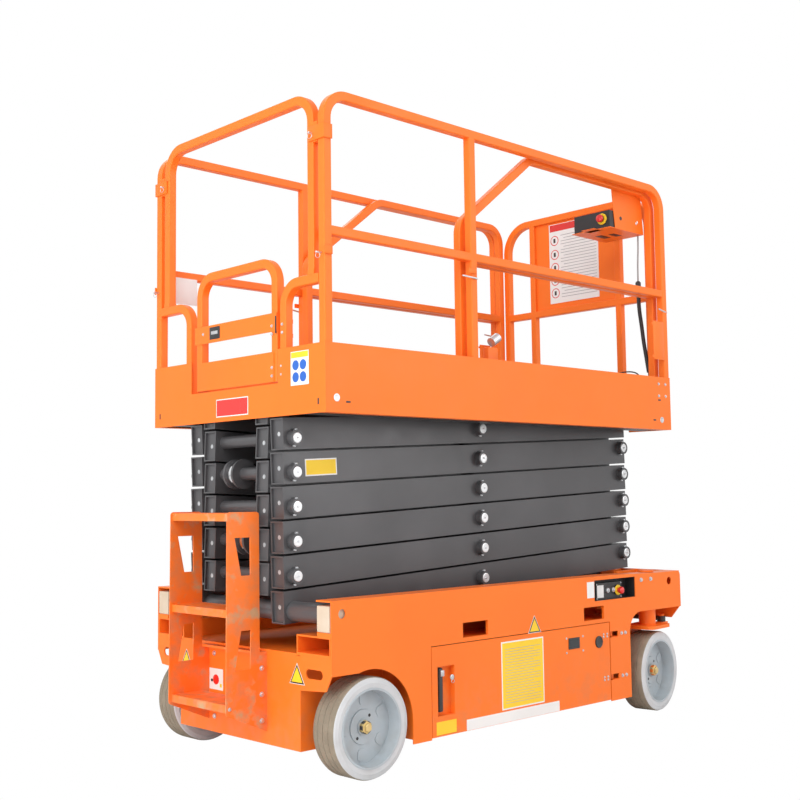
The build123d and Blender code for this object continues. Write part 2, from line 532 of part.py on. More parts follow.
def track_rod():
    """Bar that ties the two steering arms together, an eye at each end."""
    ends = []
    for side in (-1, 1):
        ends.append((FRONT_AXLE_X + STEER_ARM * cos(radians(REST_STEER)),
                     side * KINGPIN_Y + STEER_ARM * sin(radians(REST_STEER))))
    (x0, y0), (x1, y1) = ends
    middle = sum(TRACK_ROD_Z) / 2
    rod = bar(12, (x0, y0 + 15, middle), (x1, y1 - 15, middle))
    for ex, ey in ends:
        rod += upright(21, ex, ey, (KNUCKLE_TOP_Z[1] + SEAT, TRACK_ROD_Z[1]))
        rod -= upright(TRACK_PIN_R + RUN_GAP, ex, ey, (KNUCKLE_TOP_Z[1], TRACK_ROD_Z[1] + 1))
    return rod


save("track_rod", track_rod())

# ---- side doors and what stands on their trays ---------------------------------------------
HANDLE_X = (DOOR_X[0] + 35.0, DOOR_X[0] + 132.0)
HANDLE_Z = (184.0, 378.0)
HANDLE_DEPTH = 26.0
TRAY_Z = (112.0, 118.0)
PACK_X = (DOOR_X[0] + 80.0, DOOR_X[1] - 62.0)
PACK_Z = (TRAY_Z[1], 430.0)
TRAY_IN_Y = TUB_HALF_WIDTH + TRAY_CLEAR
DOOR_IN_Y = SIDE_Y - DOOR_PLATE
DOOR_GAP = 3.0
DOOR_HINGE_GAP = 6.0         # lets the door's inner corner swing past the leg
HINGE_EYE_R = 13.0


def swing_door():
    """Near door: flush panel, handle recess, hinge straps, and the tray behind it."""
    panel_x = (DOOR_X[0] + DOOR_GAP, DOOR_X[1] - DOOR_HINGE_GAP)
    door = block(panel_x, (-SIDE_Y, -DOOR_IN_Y), (DOOR_Z[0], DOOR_Z[1] - DOOR_GAP))
    pan = block((HANDLE_X[0] - 3, HANDLE_X[1] + 3), (-DOOR_IN_Y - 1, -SIDE_Y + HANDLE_DEPTH + 3),
                (HANDLE_Z[0] - 3, HANDLE_Z[1] + 3))
    door += pan
    door -= block(HANDLE_X, (-SIDE_Y - 1, -SIDE_Y + HANDLE_DEPTH), HANDLE_Z)
    door += block(PACK_X, (-DOOR_IN_Y - 1, -TRAY_IN_Y), TRAY_Z)
    for slot in HINGE_SLOTS_Z:
        z = (slot[0] + 2.5, slot[1] - 2.5)
        door += block((panel_x[1] - 60, panel_x[1] - 8), (-DOOR_IN_Y - 1, -DOOR_HINGE_Y + 4), z)
        door += block((panel_x[1] - 60, DOOR_HINGE_X), (-DOOR_HINGE_Y - 2, -DOOR_HINGE_Y + 4), z)
        door += upright(HINGE_EYE_R, DOOR_HINGE_X, -DOOR_HINGE_Y, z)
    return door - upright(HINGE_PIN_R + RUN_GAP, DOOR_HINGE_X, -DOOR_HINGE_Y, (DOOR_Z[0], DOOR_Z[1]))


save("door_near", swing_door())
save("door_far", far_side(swing_door()))
PACK_Y = (-SIDE_Y + HANDLE_DEPTH + 8, -TRAY_IN_Y)
save("battery_pack", block(PACK_X, PACK_Y, PACK_Z))
save("hydraulic_unit", block((PACK_X[0] + 120, PACK_X[1] - 60), (-PACK_Y[1], -PACK_Y[0]),
                             (PACK_Z[0], PACK_Z[1] - 40)))


# ---- scissor stack ---------------------------------------------------------------------------
def level_z(level):
    return BASE_PIN_Z + level * LEVEL_RISE


def arm_beam(level, y, rises_to_front):
    """One box arm of a level over the pair y, offset from its end pins, square ends."""
    rear, front = ARM_PINS / 2 + REAR_OVERHANG, ARM_PINS / 2 + FRONT_OVERHANG
    half = ARM_HEIGHT / 2
    beam = block((-rear, front), y, (-half, half))
    inside = (y[0] + ARM_WALL, y[1] - ARM_WALL), (-half + ARM_WALL, half - ARM_WALL)
    for x in ((-rear - 1, -rear + END_RECESS), (-rear + END_RECESS + ARM_WALL, front - END_RECESS - ARM_WALL),
              (front - END_RECESS, front + 1)):
        beam -= block(x, *inside)
    beam -= bar(DRAIN_R, (-rear - 1, sum(y) / 2, 0), (front + 1, sum(y) / 2, 0))
    slope = -ARM_SLOPE if rises_to_front else ARM_SLOPE
    middle_z = (level_z(level - 1) + level_z(level)) / 2
    return Pos(MID_PIN_X, 0, middle_z) * (Rot(0, slope, 0) * beam)


def outer_arms(level):
    """Pair of outer arms, low at the rear, each bored for three pins with a collar at each."""
    places = [(REAR_PIN_X, level_z(level - 1)), (MID_PIN_X, (level_z(level - 1) + level_z(level)) / 2),
              (FRONT_PIN_X, level_z(level))]
    arm = arm_beam(level, (-OUTER_Y[1], -OUTER_Y[0]), True)
    for px, pz in places:
        arm += across(COLLAR_R, px, pz, (-OUTER_Y[1] + 1, -OUTER_Y[0] - 1))
        if level > 1 or px > REAR_PIN_X:
            arm += across(COLLAR_R, px, pz, (-OUTER_Y[1] - COLLAR_LENGTH, -OUTER_Y[1] + 2))
        arm -= across(PIN_R + RUN_GAP, px, pz, (-OUTER_Y[1] - COLLAR_LENGTH - 1, -OUTER_Y[0] + 1))
    return both_sides(arm)


def inner_arms(level):
    """Pair of inner arms, low at the front, with their pins, spacers and cross tubes."""
    places = [(REAR_PIN_X, level_z(level)), (MID_PIN_X, (level_z(level - 1) + level_z(level)) / 2),
              (FRONT_PIN_X, level_z(level - 1))]
    arm = arm_beam(level, (-INNER_Y[1], -INNER_Y[0]), False)
    for px, pz in places:
        last = TOP_SHAFT_END if level == LEVELS and px == REAR_PIN_X else PIN_END_Y
        if level == 1 and px == FRONT_PIN_X:
            last = PIVOT_PLATES_Y[1][1] + 4
        else:
            arm += across(COLLAR_R + 4, px, pz, (-OUTER_Y[0] + SEAT, -INNER_Y[1] + 1))
        arm += across(PIN_R, px, pz, (-last, -INNER_Y[0] - 1))
    arms = both_sides(arm)
    gap = None
    if level in ROD_LEVELS:
        gap = (ROD_LEVELS[level] - EYE_WIDTH / 2 - SEAT, ROD_LEVELS[level] + EYE_WIDTH / 2 + SEAT)
    rear_x, rear_z = places[0]
    if gap is None:
        arms += across(CROSS_TUBE_R, rear_x, rear_z, (-INNER_Y[0] - 1, INNER_Y[0] + 1))
    else:
        for inner, outer in ((gap[0], -INNER_Y[0] - 1), (gap[1], INNER_Y[0] + 1)):
            arms += across(CROSS_TUBE_R, rear_x, rear_z, tuple(sorted((inner, outer))))
            lug = inner - LUG_PLATE if outer < inner else inner + LUG_PLATE
            arms += across(LUG_R, rear_x, rear_z, tuple(sorted((inner, lug))))
    front_x, front_z = places[2]
    arms += across(CROSS_TUBE_R, front_x, front_z, (-INNER_Y[0] - 1, INNER_Y[0] + 1))
    return arms


TOP_BLOCK_Y = (PLAT_Y - 189.0, PLAT_Y - 107.0)
TOP_SHAFT_END = TOP_BLOCK_Y[1] + 4
ROD_LEVELS = {2: -CYLINDER_Y, 4: CYLINDER_Y}       # the rear tube that each rod's eye works between

for level in range(1, LEVELS + 1):
    save(f"outer_arms_{level}", outer_arms(level))
    save(f"inner_arms_{level}", inner_arms(level))


def lower_slide_shaft():
    """Stepped shaft through the lowest outer arms' rear bores, thick outboard of them."""
    shaft = across(PIN_R, REAR_PIN_X, BASE_PIN_Z, (-SLIDE_BLOCK_Y[1] + 6, SLIDE_BLOCK_Y[1] - 6))
    shaft += across(SLIDE_SHAFT_R, REAR_PIN_X, BASE_PIN_Z, (-OUTER_Y[0] + SEAT, OUTER_Y[0] - SEAT))
    outboard = across(SLIDE_SHAFT_R, REAR_PIN_X, BASE_PIN_Z, (-SLIDE_BLOCK_Y[0], -OUTER_Y[1] - SEAT))
    return shaft + both_sides(outboard)


def lower_slide_blocks():
    """Pale blocks on the shaft's ends that run on the wear strips."""
    x = (REAR_PIN_X - SLIDE_BLOCK_LENGTH / 2, REAR_PIN_X + SLIDE_BLOCK_LENGTH / 2)
    piece = block(x, (-SLIDE_BLOCK_Y[1], -SLIDE_BLOCK_Y[0]), SLIDE_BLOCK_Z)
    piece = fillet(piece.edges().filter_by(Axis.Y), 5)
    piece -= across(PIN_R + RUN_GAP, REAR_PIN_X, BASE_PIN_Z, (-SLIDE_BLOCK_Y[1] + 6, -SLIDE_BLOCK_Y[0] + 1))
    return both_sides(piece)


TOP_BLOCK_HALF = 40.0


def upper_slide_blocks():
    """Blocks on the top inner arms' rear pins that run in the platform's channels."""
    x = (REAR_PIN_X - TOP_BLOCK_HALF, REAR_PIN_X + TOP_BLOCK_HALF)
    z = (TOP_PIN_Z - TOP_BLOCK_HALF, TOP_PIN_Z + TOP_BLOCK_HALF)
    piece = block(x, (-TOP_BLOCK_Y[1], -TOP_BLOCK_Y[0]), z)
    piece -= across(PIN_R + RUN_GAP, REAR_PIN_X, TOP_PIN_Z, (-TOP_BLOCK_Y[1] - 1, -TOP_BLOCK_Y[0] + 1))
    return both_sides(piece)


save("lower_slide_shaft", lower_slide_shaft())
save("lower_slide_blocks", lower_slide_blocks())
save("upper_slide_blocks", upper_slide_blocks())

# ---- lift cylinders ------------------------------------------------------------------------------
BORE_R = 40.0
GLAND = 25.0
PISTON = 35.0
PISTON_CLOSED = 130.0        # piston's back face from the barrel's eye, cylinder closed


def lift_cylinder(name, low_level, y):
    """Barrel on the front tube of low_level, rod up to the rear tube two levels higher."""
    start = Vector(FRONT_PIN_X, y, level_z(low_level))
    end = Vector(REAR_PIN_X, y, level_z(low_level + 2))
    along = (end - start).normalized()
    closed = (end - start).length

    def stage(radius, first, last):
        """Round piece along the cylinder between two distances from the barrel's eye."""
        return bar(radius, tuple(start + along * first), tuple(start + along * last))

    def cheek(first, last, half_height):
        """Flat piece as wide as an eye, along the cylinder."""
        place = Plane(origin=start + along * ((first + last) / 2), x_dir=along, z_dir=(0, 1, 0))
        return place * Box(last - first, 2 * half_height, EYE_WIDTH)

    eye_y = (y - EYE_WIDTH / 2, y + EYE_WIDTH / 2)
    barrel = across(EYE_R, start.X, start.Z, eye_y) + cheek(0, 75, 34) + stage(BARREL_R, 70, BARREL_LENGTH)
    barrel -= across(CROSS_TUBE_R + RUN_GAP, start.X, start.Z, (eye_y[0] - 1, eye_y[1] + 1))
    barrel -= stage(BORE_R, PISTON_CLOSED - 15, BARREL_LENGTH - GLAND)
    barrel -= stage(ROD_R + RUN_GAP, BARREL_LENGTH - GLAND - 1, BARREL_LENGTH + 1)
    rod = stage(ROD_R, PISTON_CLOSED, closed - SHANK_LENGTH + 2)
    rod += stage(BORE_R - RUN_GAP, PISTON_CLOSED, PISTON_CLOSED + PISTON)
    rod += cheek(closed - SHANK_LENGTH, closed, ROD_R) + across(EYE_R, end.X, end.Z, eye_y)
    save(f"{name}_barrel", barrel)
    save(f"{name}_rod", rod)


lift_cylinder("lower_lift", 0, -CYLINDER_Y)
lift_cylinder("upper_lift", 2, CYLINDER_Y)

# ---- platform ---------------------------------------------------------------------------------------
GATE_Y = (-293.0, -293.0 + GATE_WIDTH)     # outer faces of the gate's hoop
GATE_POST_Y = 328.0                        # fixed posts either side of the gate
SILL_TOP = DECK_TOP - 1.0
STRIP_Y = (EXT_Y - 65.0, EXT_Y - 15.0)
CHANNEL_Y = (PLAT_Y - 191.0, PLAT_Y - 91.0)
CHANNEL_WEB = 6.0
CHANNEL_FLANGE = 8.0
CHANNEL_GAP = SEAT
ARM_NOTCH = 16.0                           # room round the top arms' ends in the front end plate


def platform_deck():
    """Deck plate with folded side skirts, rear sill with raised wings, front end plate."""
    x = (PLAT_REAR_X, PLAT_FRONT_X)
    deck = block((x[0] + SKIRT_PLATE, x[1] - SKIRT_PLATE), (-PLAT_IN_Y, PLAT_IN_Y), (DECK_UNDER, DECK_TOP))
    skirt = block(x, (-PLAT_Y, -PLAT_IN_Y), (SKIRT_BOTTOM, SKIRT_TOP))
    lip = block(x, (-PLAT_IN_Y, -PLAT_IN_Y + 40), (SKIRT_BOTTOM, SKIRT_BOTTOM + SKIRT_PLATE))
    sill = block((x[0], x[0] + SKIRT_PLATE), (-PLAT_IN_Y, PLAT_IN_Y), (SKIRT_BOTTOM, SILL_TOP))
    wing_in = GATE_POST_Y - TUBE / 2 - 9
    wings = both_sides(block((x[0], x[0] + SKIRT_PLATE), (-PLAT_IN_Y, -wing_in), (SILL_TOP - 1, SKIRT_TOP)))
    front = block((x[1] - SKIRT_PLATE, x[1]), (-PLAT_IN_Y, PLAT_IN_Y), (SKIRT_BOTTOM, DECK_TOP))
    notch_y = (-OUTER_Y[1] - ARM_NOTCH, -OUTER_Y[0] + ARM_NOTCH)
    front -= both_sides(block((x[1] - SKIRT_PLATE - 1, x[1] + 1), notch_y,
                              (SKIRT_BOTTOM - 1, TOP_PIN_Z + ARM_NOTCH)))
    strips = both_sides(block((EXT_REAR_X + 12, x[1] - SKIRT_PLATE - 2), (-STRIP_Y[1], -STRIP_Y[0]),
                              (DECK_TOP - 1, EXT_UNDER - SEAT)))
    return deck + both_sides(skirt + lip) + sill + wings + front + strips


def platform_underframe():
    """Channels that the upper slide blocks run in, cross beams, and the front pivot brackets."""
    x = (PLAT_REAR_X + SKIRT_PLATE, PLAT_FRONT_X - SKIRT_PLATE)
    low = TOP_PIN_Z - TOP_BLOCK_HALF - CHANNEL_GAP
    high = TOP_PIN_Z + TOP_BLOCK_HALF + CHANNEL_GAP
    channel = block(x, (-CHANNEL_Y[1], -CHANNEL_Y[0]), (low - CHANNEL_FLANGE, low))
    channel += block(x, (-CHANNEL_Y[1], -CHANNEL_Y[0]), (high, high + CHANNEL_FLANGE))
    channel += block(x, (-CHANNEL_Y[1], -CHANNEL_Y[1] + CHANNEL_WEB), (low - 1, high + 1))
    middle = sum(CHANNEL_Y) / 2
    channel += block(x, (-middle - 4, -middle + 4), (high, DECK_UNDER))
    pin_outer = OUTER_Y[1] + COLLAR_LENGTH + 4
    bracket = across(PIN_R, FRONT_PIN_X, TOP_PIN_Z, (-pin_outer - 14, -INNER_Y[1] + 1))
    bracket += across(COLLAR_R + 4, FRONT_PIN_X, TOP_PIN_Z, (-OUTER_Y[0] + SEAT, -INNER_Y[1] + 1))
    for y in ((-INNER_Y[1], -INNER_Y[1] + 18), (-pin_outer - 12, -pin_outer)):
        bracket += block((FRONT_PIN_X - 40, FRONT_PIN_X + 40), y, (TOP_PIN_Z - 34, DECK_UNDER))
    return both_sides(channel + bracket)


save("platform_deck", platform_deck())
save("platform_underframe", platform_underframe())

MID_POST_X = PLATFORM_X - 306.0


def guard_rail():
    """Near side guard rail: bent top tube with its end posts, mid post and mid rail."""
    ends = (REAR_POST_X, FRONT_POST_X)
    rail = side_tube([(ends[0], DECK_TOP), (ends[0], RAIL_TOP_Z), (ends[1], RAIL_TOP_Z), (ends[1], DECK_TOP)],
                     -RAIL_Y)
    rail += side_tube([(MID_POST_X, DECK_TOP), (MID_POST_X, RAIL_TOP_Z)], -RAIL_Y, size=INNER_TUBE)
    rail += side_tube([(ends[0], MID_RAIL_Z), (ends[1], MID_RAIL_Z)], -RAIL_Y, size=INNER_TUBE - 1)
    return rail


save("guard_rail_near", guard_rail())
save("guard_rail_far", far_side(guard_rail()))

REAR_HOOP_Y = RAIL_Y - 64.0
STUB_RAIL_Z = 1886.0
STUB_LUG = 17.0
ENTRY_BEND = 85.0


def rear_hoop():
    """Hoop over the entry, standing on the stub rails and clipped to the side posts."""
    bottom = STUB_RAIL_Z + TUBE / 2 + STUB_LUG
    hoop = hoop_tube([(-REAR_HOOP_Y, bottom), (-REAR_HOOP_Y, RAIL_TOP_Z), (REAR_HOOP_Y, RAIL_TOP_Z),
                      (REAR_HOOP_Y, bottom)], REAR_POST_X)
    clip_y = (-RAIL_Y + TUBE / 2, -REAR_HOOP_Y - TUBE / 2 + 1)
    clip = block((REAR_POST_X - TUBE / 2, REAR_POST_X + TUBE / 2), clip_y, (RAIL_TOP_Z - 190, RAIL_TOP_Z - 110))
    return hoop + both_sides(clip)


def entry_rails():
    """Fixed stub rails and gate posts either side of the gate, with the gate's hinge pins."""
    stub = hoop_tube([(-RAIL_Y + TUBE / 2, STUB_RAIL_Z), (-GATE_POST_Y, STUB_RAIL_Z), (-GATE_POST_Y, DECK_TOP)],
                     REAR_POST_X, ENTRY_BEND)
    stub += block((REAR_POST_X - TUBE / 2, REAR_POST_X + TUBE / 2),
                  (-REAR_HOOP_Y - TUBE / 2, -REAR_HOOP_Y + TUBE / 2),
                  (STUB_RAIL_Z + TUBE / 2 - 2, STUB_RAIL_Z + TUBE / 2 + STUB_LUG))
    rails = both_sides(stub)
    for z in GATE_HINGES_Z:
        rails += upright(GATE_PIN_R, GATE_AXIS_X, GATE_AXIS_Y, (z - 36, z + 36))
        for end in ((z - 36, z - 20 - SEAT), (z + 20 + SEAT, z + 36)):
            rails += upright(GATE_PIN_R + 4, GATE_AXIS_X, GATE_AXIS_Y, end)
            rails += block((GATE_AXIS_X - 9, GATE_AXIS_X - 5), (GATE_AXIS_Y - 40, GATE_AXIS_Y), end)
    return rails


GATE_HINGES_Z = (1550.0, 1716.0)
GATE_PIN_R = 4.0
GATE_AXIS_X = REAR_POST_X + TUBE / 2 + 9
GATE_AXIS_Y = GATE_Y[0] - 8
GATE_TOP_Z = 1991.0
GATE_BOTTOM = DECK_TOP + 7
TOE_PLATE_TOP = 1629.0
LATCH_PLATE_Z = (1709.0, 1783.0)


def entry_gate():
    """Gate hoop with latch plate, toe plate and the hinge eyes on its inner face."""
    low, high = GATE_Y[0] + TUBE / 2, GATE_Y[1] - TUBE / 2
    gate = hoop_tube([(low, GATE_BOTTOM), (low, GATE_TOP_Z), (high, GATE_TOP_Z), (high, GATE_BOTTOM)],
                     REAR_POST_X, ENTRY_BEND)
    face = REAR_POST_X - TUBE / 2
    gate += block((face - 3, face + 1), (low, high), (GATE_BOTTOM, TOE_PLATE_TOP))
    gate += block((face - 3, face + 1), (GATE_Y[0], GATE_Y[1] + 8), LATCH_PLATE_Z)
    for z in GATE_HINGES_Z:
        gate += block((GATE_AXIS_X - 9, GATE_AXIS_X - 5), (GATE_AXIS_Y, GATE_AXIS_Y + 40), (z - 20, z + 20))
        gate += upright(GATE_PIN_R + 4, GATE_AXIS_X, GATE_AXIS_Y, (z - 20, z + 20))
        gate -= upright(GATE_PIN_R + RUN_GAP, GATE_AXIS_X, GATE_AXIS_Y, (z - 21, z + 21))
    return gate


save("rear_hoop", rear_hoop())
save("entry_rails", entry_rails())
save("entry_gate", entry_gate())


# ---- extension deck ---------------------------------------------------------------------------------
EXT_REAR_POST_X = EXT_REAR_X + TUBE / 2
FRONT_POST_BACK = 44.5                     # extension rails' front posts behind the hoop
EXT_FRONT_POST_X = FRONT_HOOP_X - FRONT_POST_BACK
BRACE_START_Z = 2217.0
BRACE_TOP_X = EXT_REAR_X + 491.0
EXT_MID_Z = MID_RAIL_Z


def extension_deck():
    """Sliding deck plate with a front toe board."""
    plate = block((EXT_REAR_X, EXT_FRONT_X - SKIRT_PLATE), (-EXT_Y, EXT_Y), (EXT_UNDER, EXT_TOP))
    toe = block((EXT_FRONT_X - SKIRT_PLATE, EXT_FRONT_X), (-EXT_Y, EXT_Y), (EXT_UNDER, SKIRT_TOP))
    return plate + toe


def extension_rail():
    """Near extension rail: rear post leaning into the top rail, front post, mid rail."""
    rail = side_tube([(EXT_REAR_POST_X, EXT_TOP), (EXT_REAR_POST_X, BRACE_START_Z),
                      (BRACE_TOP_X, EXT_TOP_RAIL_Z), (EXT_FRONT_POST_X, EXT_TOP_RAIL_Z),
                      (EXT_FRONT_POST_X, EXT_TOP)], -EXT_RAIL_Y, 90)
    return rail + side_tube([(EXT_REAR_POST_X, EXT_MID_Z), (EXT_FRONT_POST_X, EXT_MID_Z)], -EXT_RAIL_Y,
                            size=INNER_TUBE)


def front_hoop():
    """Front rail hoop with two inner posts and a mid rail."""
    y = FRONT_HOOP_POST_Y
    hoop = hoop_tube([(-y, EXT_TOP), (-y, EXT_TOP_RAIL_Z), (y, EXT_TOP_RAIL_Z), (y, EXT_TOP)], FRONT_HOOP_X,
                     FRONT_HOOP_BEND)
    hoop += hoop_tube([(-y, EXT_MID_Z), (y, EXT_MID_Z)], FRONT_HOOP_X, size=INNER_TUBE)
    for py in (-FRONT_PANEL_POST_Y, FRONT_PANEL_POST_Y):
        hoop += hoop_tube([(py, EXT_TOP), (py, EXT_TOP_RAIL_Z)], FRONT_HOOP_X, size=INNER_TUBE - 1)
    return hoop


save("extension_deck", extension_deck())
save("extension_rail_near", extension_rail())
save("extension_rail_far", far_side(extension_rail()))
save("front_hoop", front_hoop())
PANEL_Y = FRONT_PANEL_POST_Y - TUBE / 2
save("front_panel", block((FRONT_HOOP_X - 1, FRONT_HOOP_X + 1), (-PANEL_Y, PANEL_Y),
                          (EXT_MID_Z + TUBE / 2, EXT_TOP_RAIL_Z - TUBE / 2)))

# ---- platform control ---------------------------------------------------------------------------------
BRACKET_TOP_X = (FRONT_X - 361.5, FRONT_X - 113.5)
BRACKET_LEAN = 28.0            # the cheek's rear edge leans this far forward at the bottom
BRACKET_Y = (-EXT_RAIL_Y + TUBE / 2 + SEAT, -260.0)
BRACKET_LOW = 2384.0
BRACKET_SHEET = 3.0
BRACKET_HOLES = ((FRONT_X - 286.5, 2438.0), (FRONT_X - 140.5, 2441.0))


def control_bracket():
    """Sheet bracket hooked over the near extension rail: cheek, shelf and hook."""
    low, high = BRACKET_LOW, EXT_TOP_RAIL_Z + TUBE / 2
    cheek_y = (BRACKET_Y[0], BRACKET_Y[0] + BRACKET_SHEET)
    back, front = BRACKET_TOP_X
    foot = (back + BRACKET_LEAN, front + BRACKET_LEAN - 6)
    cheek = side_sheet([(back, high), (front, high), (foot[1], low), (foot[0], low)], cheek_y)
    for hx, hz in BRACKET_HOLES:
        cheek -= across(7, hx, hz, (cheek_y[0] - 1, cheek_y[1] + 1))
    shelf = block((foot[0] - 45, foot[1]), BRACKET_Y, (low - BRACKET_SHEET, low))
    hook = block((back, back + 90), (-EXT_RAIL_Y - TUBE / 2, cheek_y[1]),
                 (high + SEAT, high + SEAT + BRACKET_SHEET))
    hook += block((back, back + 90), cheek_y, (high - 1, high + SEAT + BRACKET_SHEET))
    return cheek + shelf + hook


save("control_bracket", control_bracket())
BOX_X = (BRACKET_TOP_X[0] - 12, BRACKET_TOP_X[0] + 118)
BOX_Y = (BRACKET_Y[0] + BRACKET_SHEET + 2, BRACKET_Y[1] - 12)
BOX_Z = (BRACKET_LOW, BRACKET_LOW + 86)
control_box = block(BOX_X, BOX_Y, BOX_Z)
button_y, button_z = BOX_Y[0] + 45, BOX_Z[0] + 46
control_box += bar(16, (BOX_X[0] - 26, button_y, button_z), (BOX_X[0] + 1, button_y, button_z))
save("control_box", control_box)

# ---- cables and sign ------------------------------------------------------------------------------------
CABLE_Y = -EXT_Y + 70.0
LEAD_R, CONNECTOR_R, CONDUIT_R, DECK_CABLE_R = 4.0, 14.0, 10.0, 3.5
CONNECTOR_X, CONNECTOR_Z = FRONT_X - 105.5, (2066.0, 2144.0)
LEAD_TOP = (BRACKET_TOP_X[1] + 18, CABLE_Y, BRACKET_LOW - BRACKET_SHEET)
ARC_SHARE = 0.45             # part of the shorter run that an arc takes on each side of its corner
CONDUIT_LOW_X, CONDUIT_LOW_Z = FRONT_X - 62.5, 1673.0
CONDUIT_POINTS = ((CONNECTOR_X, CABLE_Y, CONNECTOR_Z[0]), (CONNECTOR_X, CABLE_Y, 2006.0),
                  (CONDUIT_LOW_X - 25, CABLE_Y - 1, 1918.0), (CONDUIT_LOW_X - 17, CABLE_Y - 5, 1830.0),
                  (CONDUIT_LOW_X - 8, CABLE_Y - 13, 1748.0), (CONDUIT_LOW_X, CABLE_Y - 19, CONDUIT_LOW_Z))
DECK_CABLE_END_X = FRONT_HOOP_X - TUBE / 2 - DECK_CABLE_R - 1.5


def cord(radius, points):
    """Round tube on a cord's route: straight runs joined by arcs as large as the runs allow."""
    corners = [Vector(*point) for point in points]
    bends = []
    for before, corner, after in zip(corners, corners[1:], corners[2:]):
        arriving, leaving = corner - before, after - corner
        bends.append(ARC_SHARE * min(arriving.length, leaving.length) / tan(radians(arriving.get_angle(leaving) / 2)))
    path = FilletPolyline(*corners, radius=bends)
    tube = sweep(Plane(origin=path @ 0, z_dir=path % 0) * Circle(radius), path=path)
    print("cord", round(path.length), "mm, bends", [round(bend) for bend in bends],
          "volume over section x length", round(tube.volume / (pi * radius ** 2 * path.length), 4))
    return tube


save("control_lead", cord(LEAD_R, [LEAD_TOP, (LEAD_TOP[0], CABLE_Y, 2320.0), (CONNECTOR_X, CABLE_Y, 2225.0),
                                   (CONNECTOR_X, CABLE_Y, CONNECTOR_Z[1])]))
save("cable_connector", upright(CONNECTOR_R, CONNECTOR_X, CABLE_Y, CONNECTOR_Z))
save("control_conduit", cord(CONDUIT_R, CONDUIT_POINTS))
leaving_end = (Vector(*CONDUIT_POINTS[-1]) - Vector(*CONDUIT_POINTS[-2])).normalized() * 22
conduit_end = Vector(*CONDUIT_POINTS[-1])
save("deck_cable", cord(DECK_CABLE_R, [
    tuple(conduit_end), tuple(conduit_end + leaving_end), (CONDUIT_LOW_X + 4, -468.0, 1631.0),
    (CONDUIT_LOW_X + 7, -445.0, 1629.0), (CONDUIT_LOW_X + 10, -426.0, 1650.0), (CONDUIT_LOW_X + 12, -407.0, 1675.0),
    (DECK_CABLE_END_X - 2, -372.0, 1687.0), (DECK_CABLE_END_X, -330.0, 1690.0),
    (DECK_CABLE_END_X, -FRONT_PANEL_POST_Y, 1688.0)]))

SIGN_Y = (-160.0, 175.0)
SIGN_Z = (2115.0, 2561.0)
SIGN_SHEET = 2.0
save("sign_plate", block((FRONT_HOOP_X - 1 - SIGN_SHEET, FRONT_HOOP_X - 1), SIGN_Y, SIGN_Z))
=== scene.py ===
"""Scissor lift with its looks: paint, tyres, pins, fasteners, labels, controls, cables, floor and light."""
import json
from math import atan2, cos, pi, radians, sin

import bpy
from bpy.props import FloatProperty, FloatVectorProperty, PointerProperty
from mathutils import Matrix, Vector


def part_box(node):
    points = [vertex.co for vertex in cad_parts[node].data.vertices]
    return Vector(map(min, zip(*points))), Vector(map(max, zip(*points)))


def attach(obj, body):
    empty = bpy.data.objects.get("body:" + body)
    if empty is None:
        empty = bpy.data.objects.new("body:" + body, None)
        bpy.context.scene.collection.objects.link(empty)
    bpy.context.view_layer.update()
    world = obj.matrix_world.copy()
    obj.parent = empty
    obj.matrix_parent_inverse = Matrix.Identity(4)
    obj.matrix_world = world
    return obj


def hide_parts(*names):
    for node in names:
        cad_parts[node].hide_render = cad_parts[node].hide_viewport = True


bl_info = {
    "name": "Scissor Lift",
    "version": (1, 0, 0),
    "blender": (4, 5, 0),
    "location": "View3D > Sidebar > Scissor Lift",
    "description": "Dresses the scissor lift's frame with paint, fittings, cables and a studio",
    "category": "Object",
}

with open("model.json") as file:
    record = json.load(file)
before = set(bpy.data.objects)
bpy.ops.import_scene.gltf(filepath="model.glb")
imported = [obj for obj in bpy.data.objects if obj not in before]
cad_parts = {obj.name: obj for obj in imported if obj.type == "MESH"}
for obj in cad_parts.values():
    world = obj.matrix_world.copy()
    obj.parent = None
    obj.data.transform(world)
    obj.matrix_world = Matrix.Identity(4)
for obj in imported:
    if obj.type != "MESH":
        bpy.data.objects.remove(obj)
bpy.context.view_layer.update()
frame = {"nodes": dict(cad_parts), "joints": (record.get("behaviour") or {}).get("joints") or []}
NODES = frame["nodes"]
JOINTS = {joint["name"]: joint for joint in frame["joints"]}

# ---- places read from the frame ----
LEVELS = 6
NEAR, FAR = -1, 1
FRONT_PIN_X = JOINTS["lift"]["pos_m"][0]
MID_PIN_X = JOINTS["mid_pins_1"]["pos_m"][0]
REAR_PIN_X = JOINTS["lower_slide_pins"]["pos_m"][0]
BASE_PIN_Z = JOINTS["lift"]["pos_m"][2]
LEVEL_RISE = JOINTS["front_pins_1"]["pos_m"][2] - BASE_PIN_Z
SIDE_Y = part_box("door_far")[1][1]
OUTER_FACE_Y = 0.3165  # outer side of the outer arms
SKIRT_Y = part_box("platform_deck")[1][1]
SILL_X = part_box("platform_deck")[0][0]
REAR_WALL_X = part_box("chassis_belly")[0][0]
REARWARD = (-1, 0, 0)
SIDES = ((NEAR, "near"), (FAR, "far"))

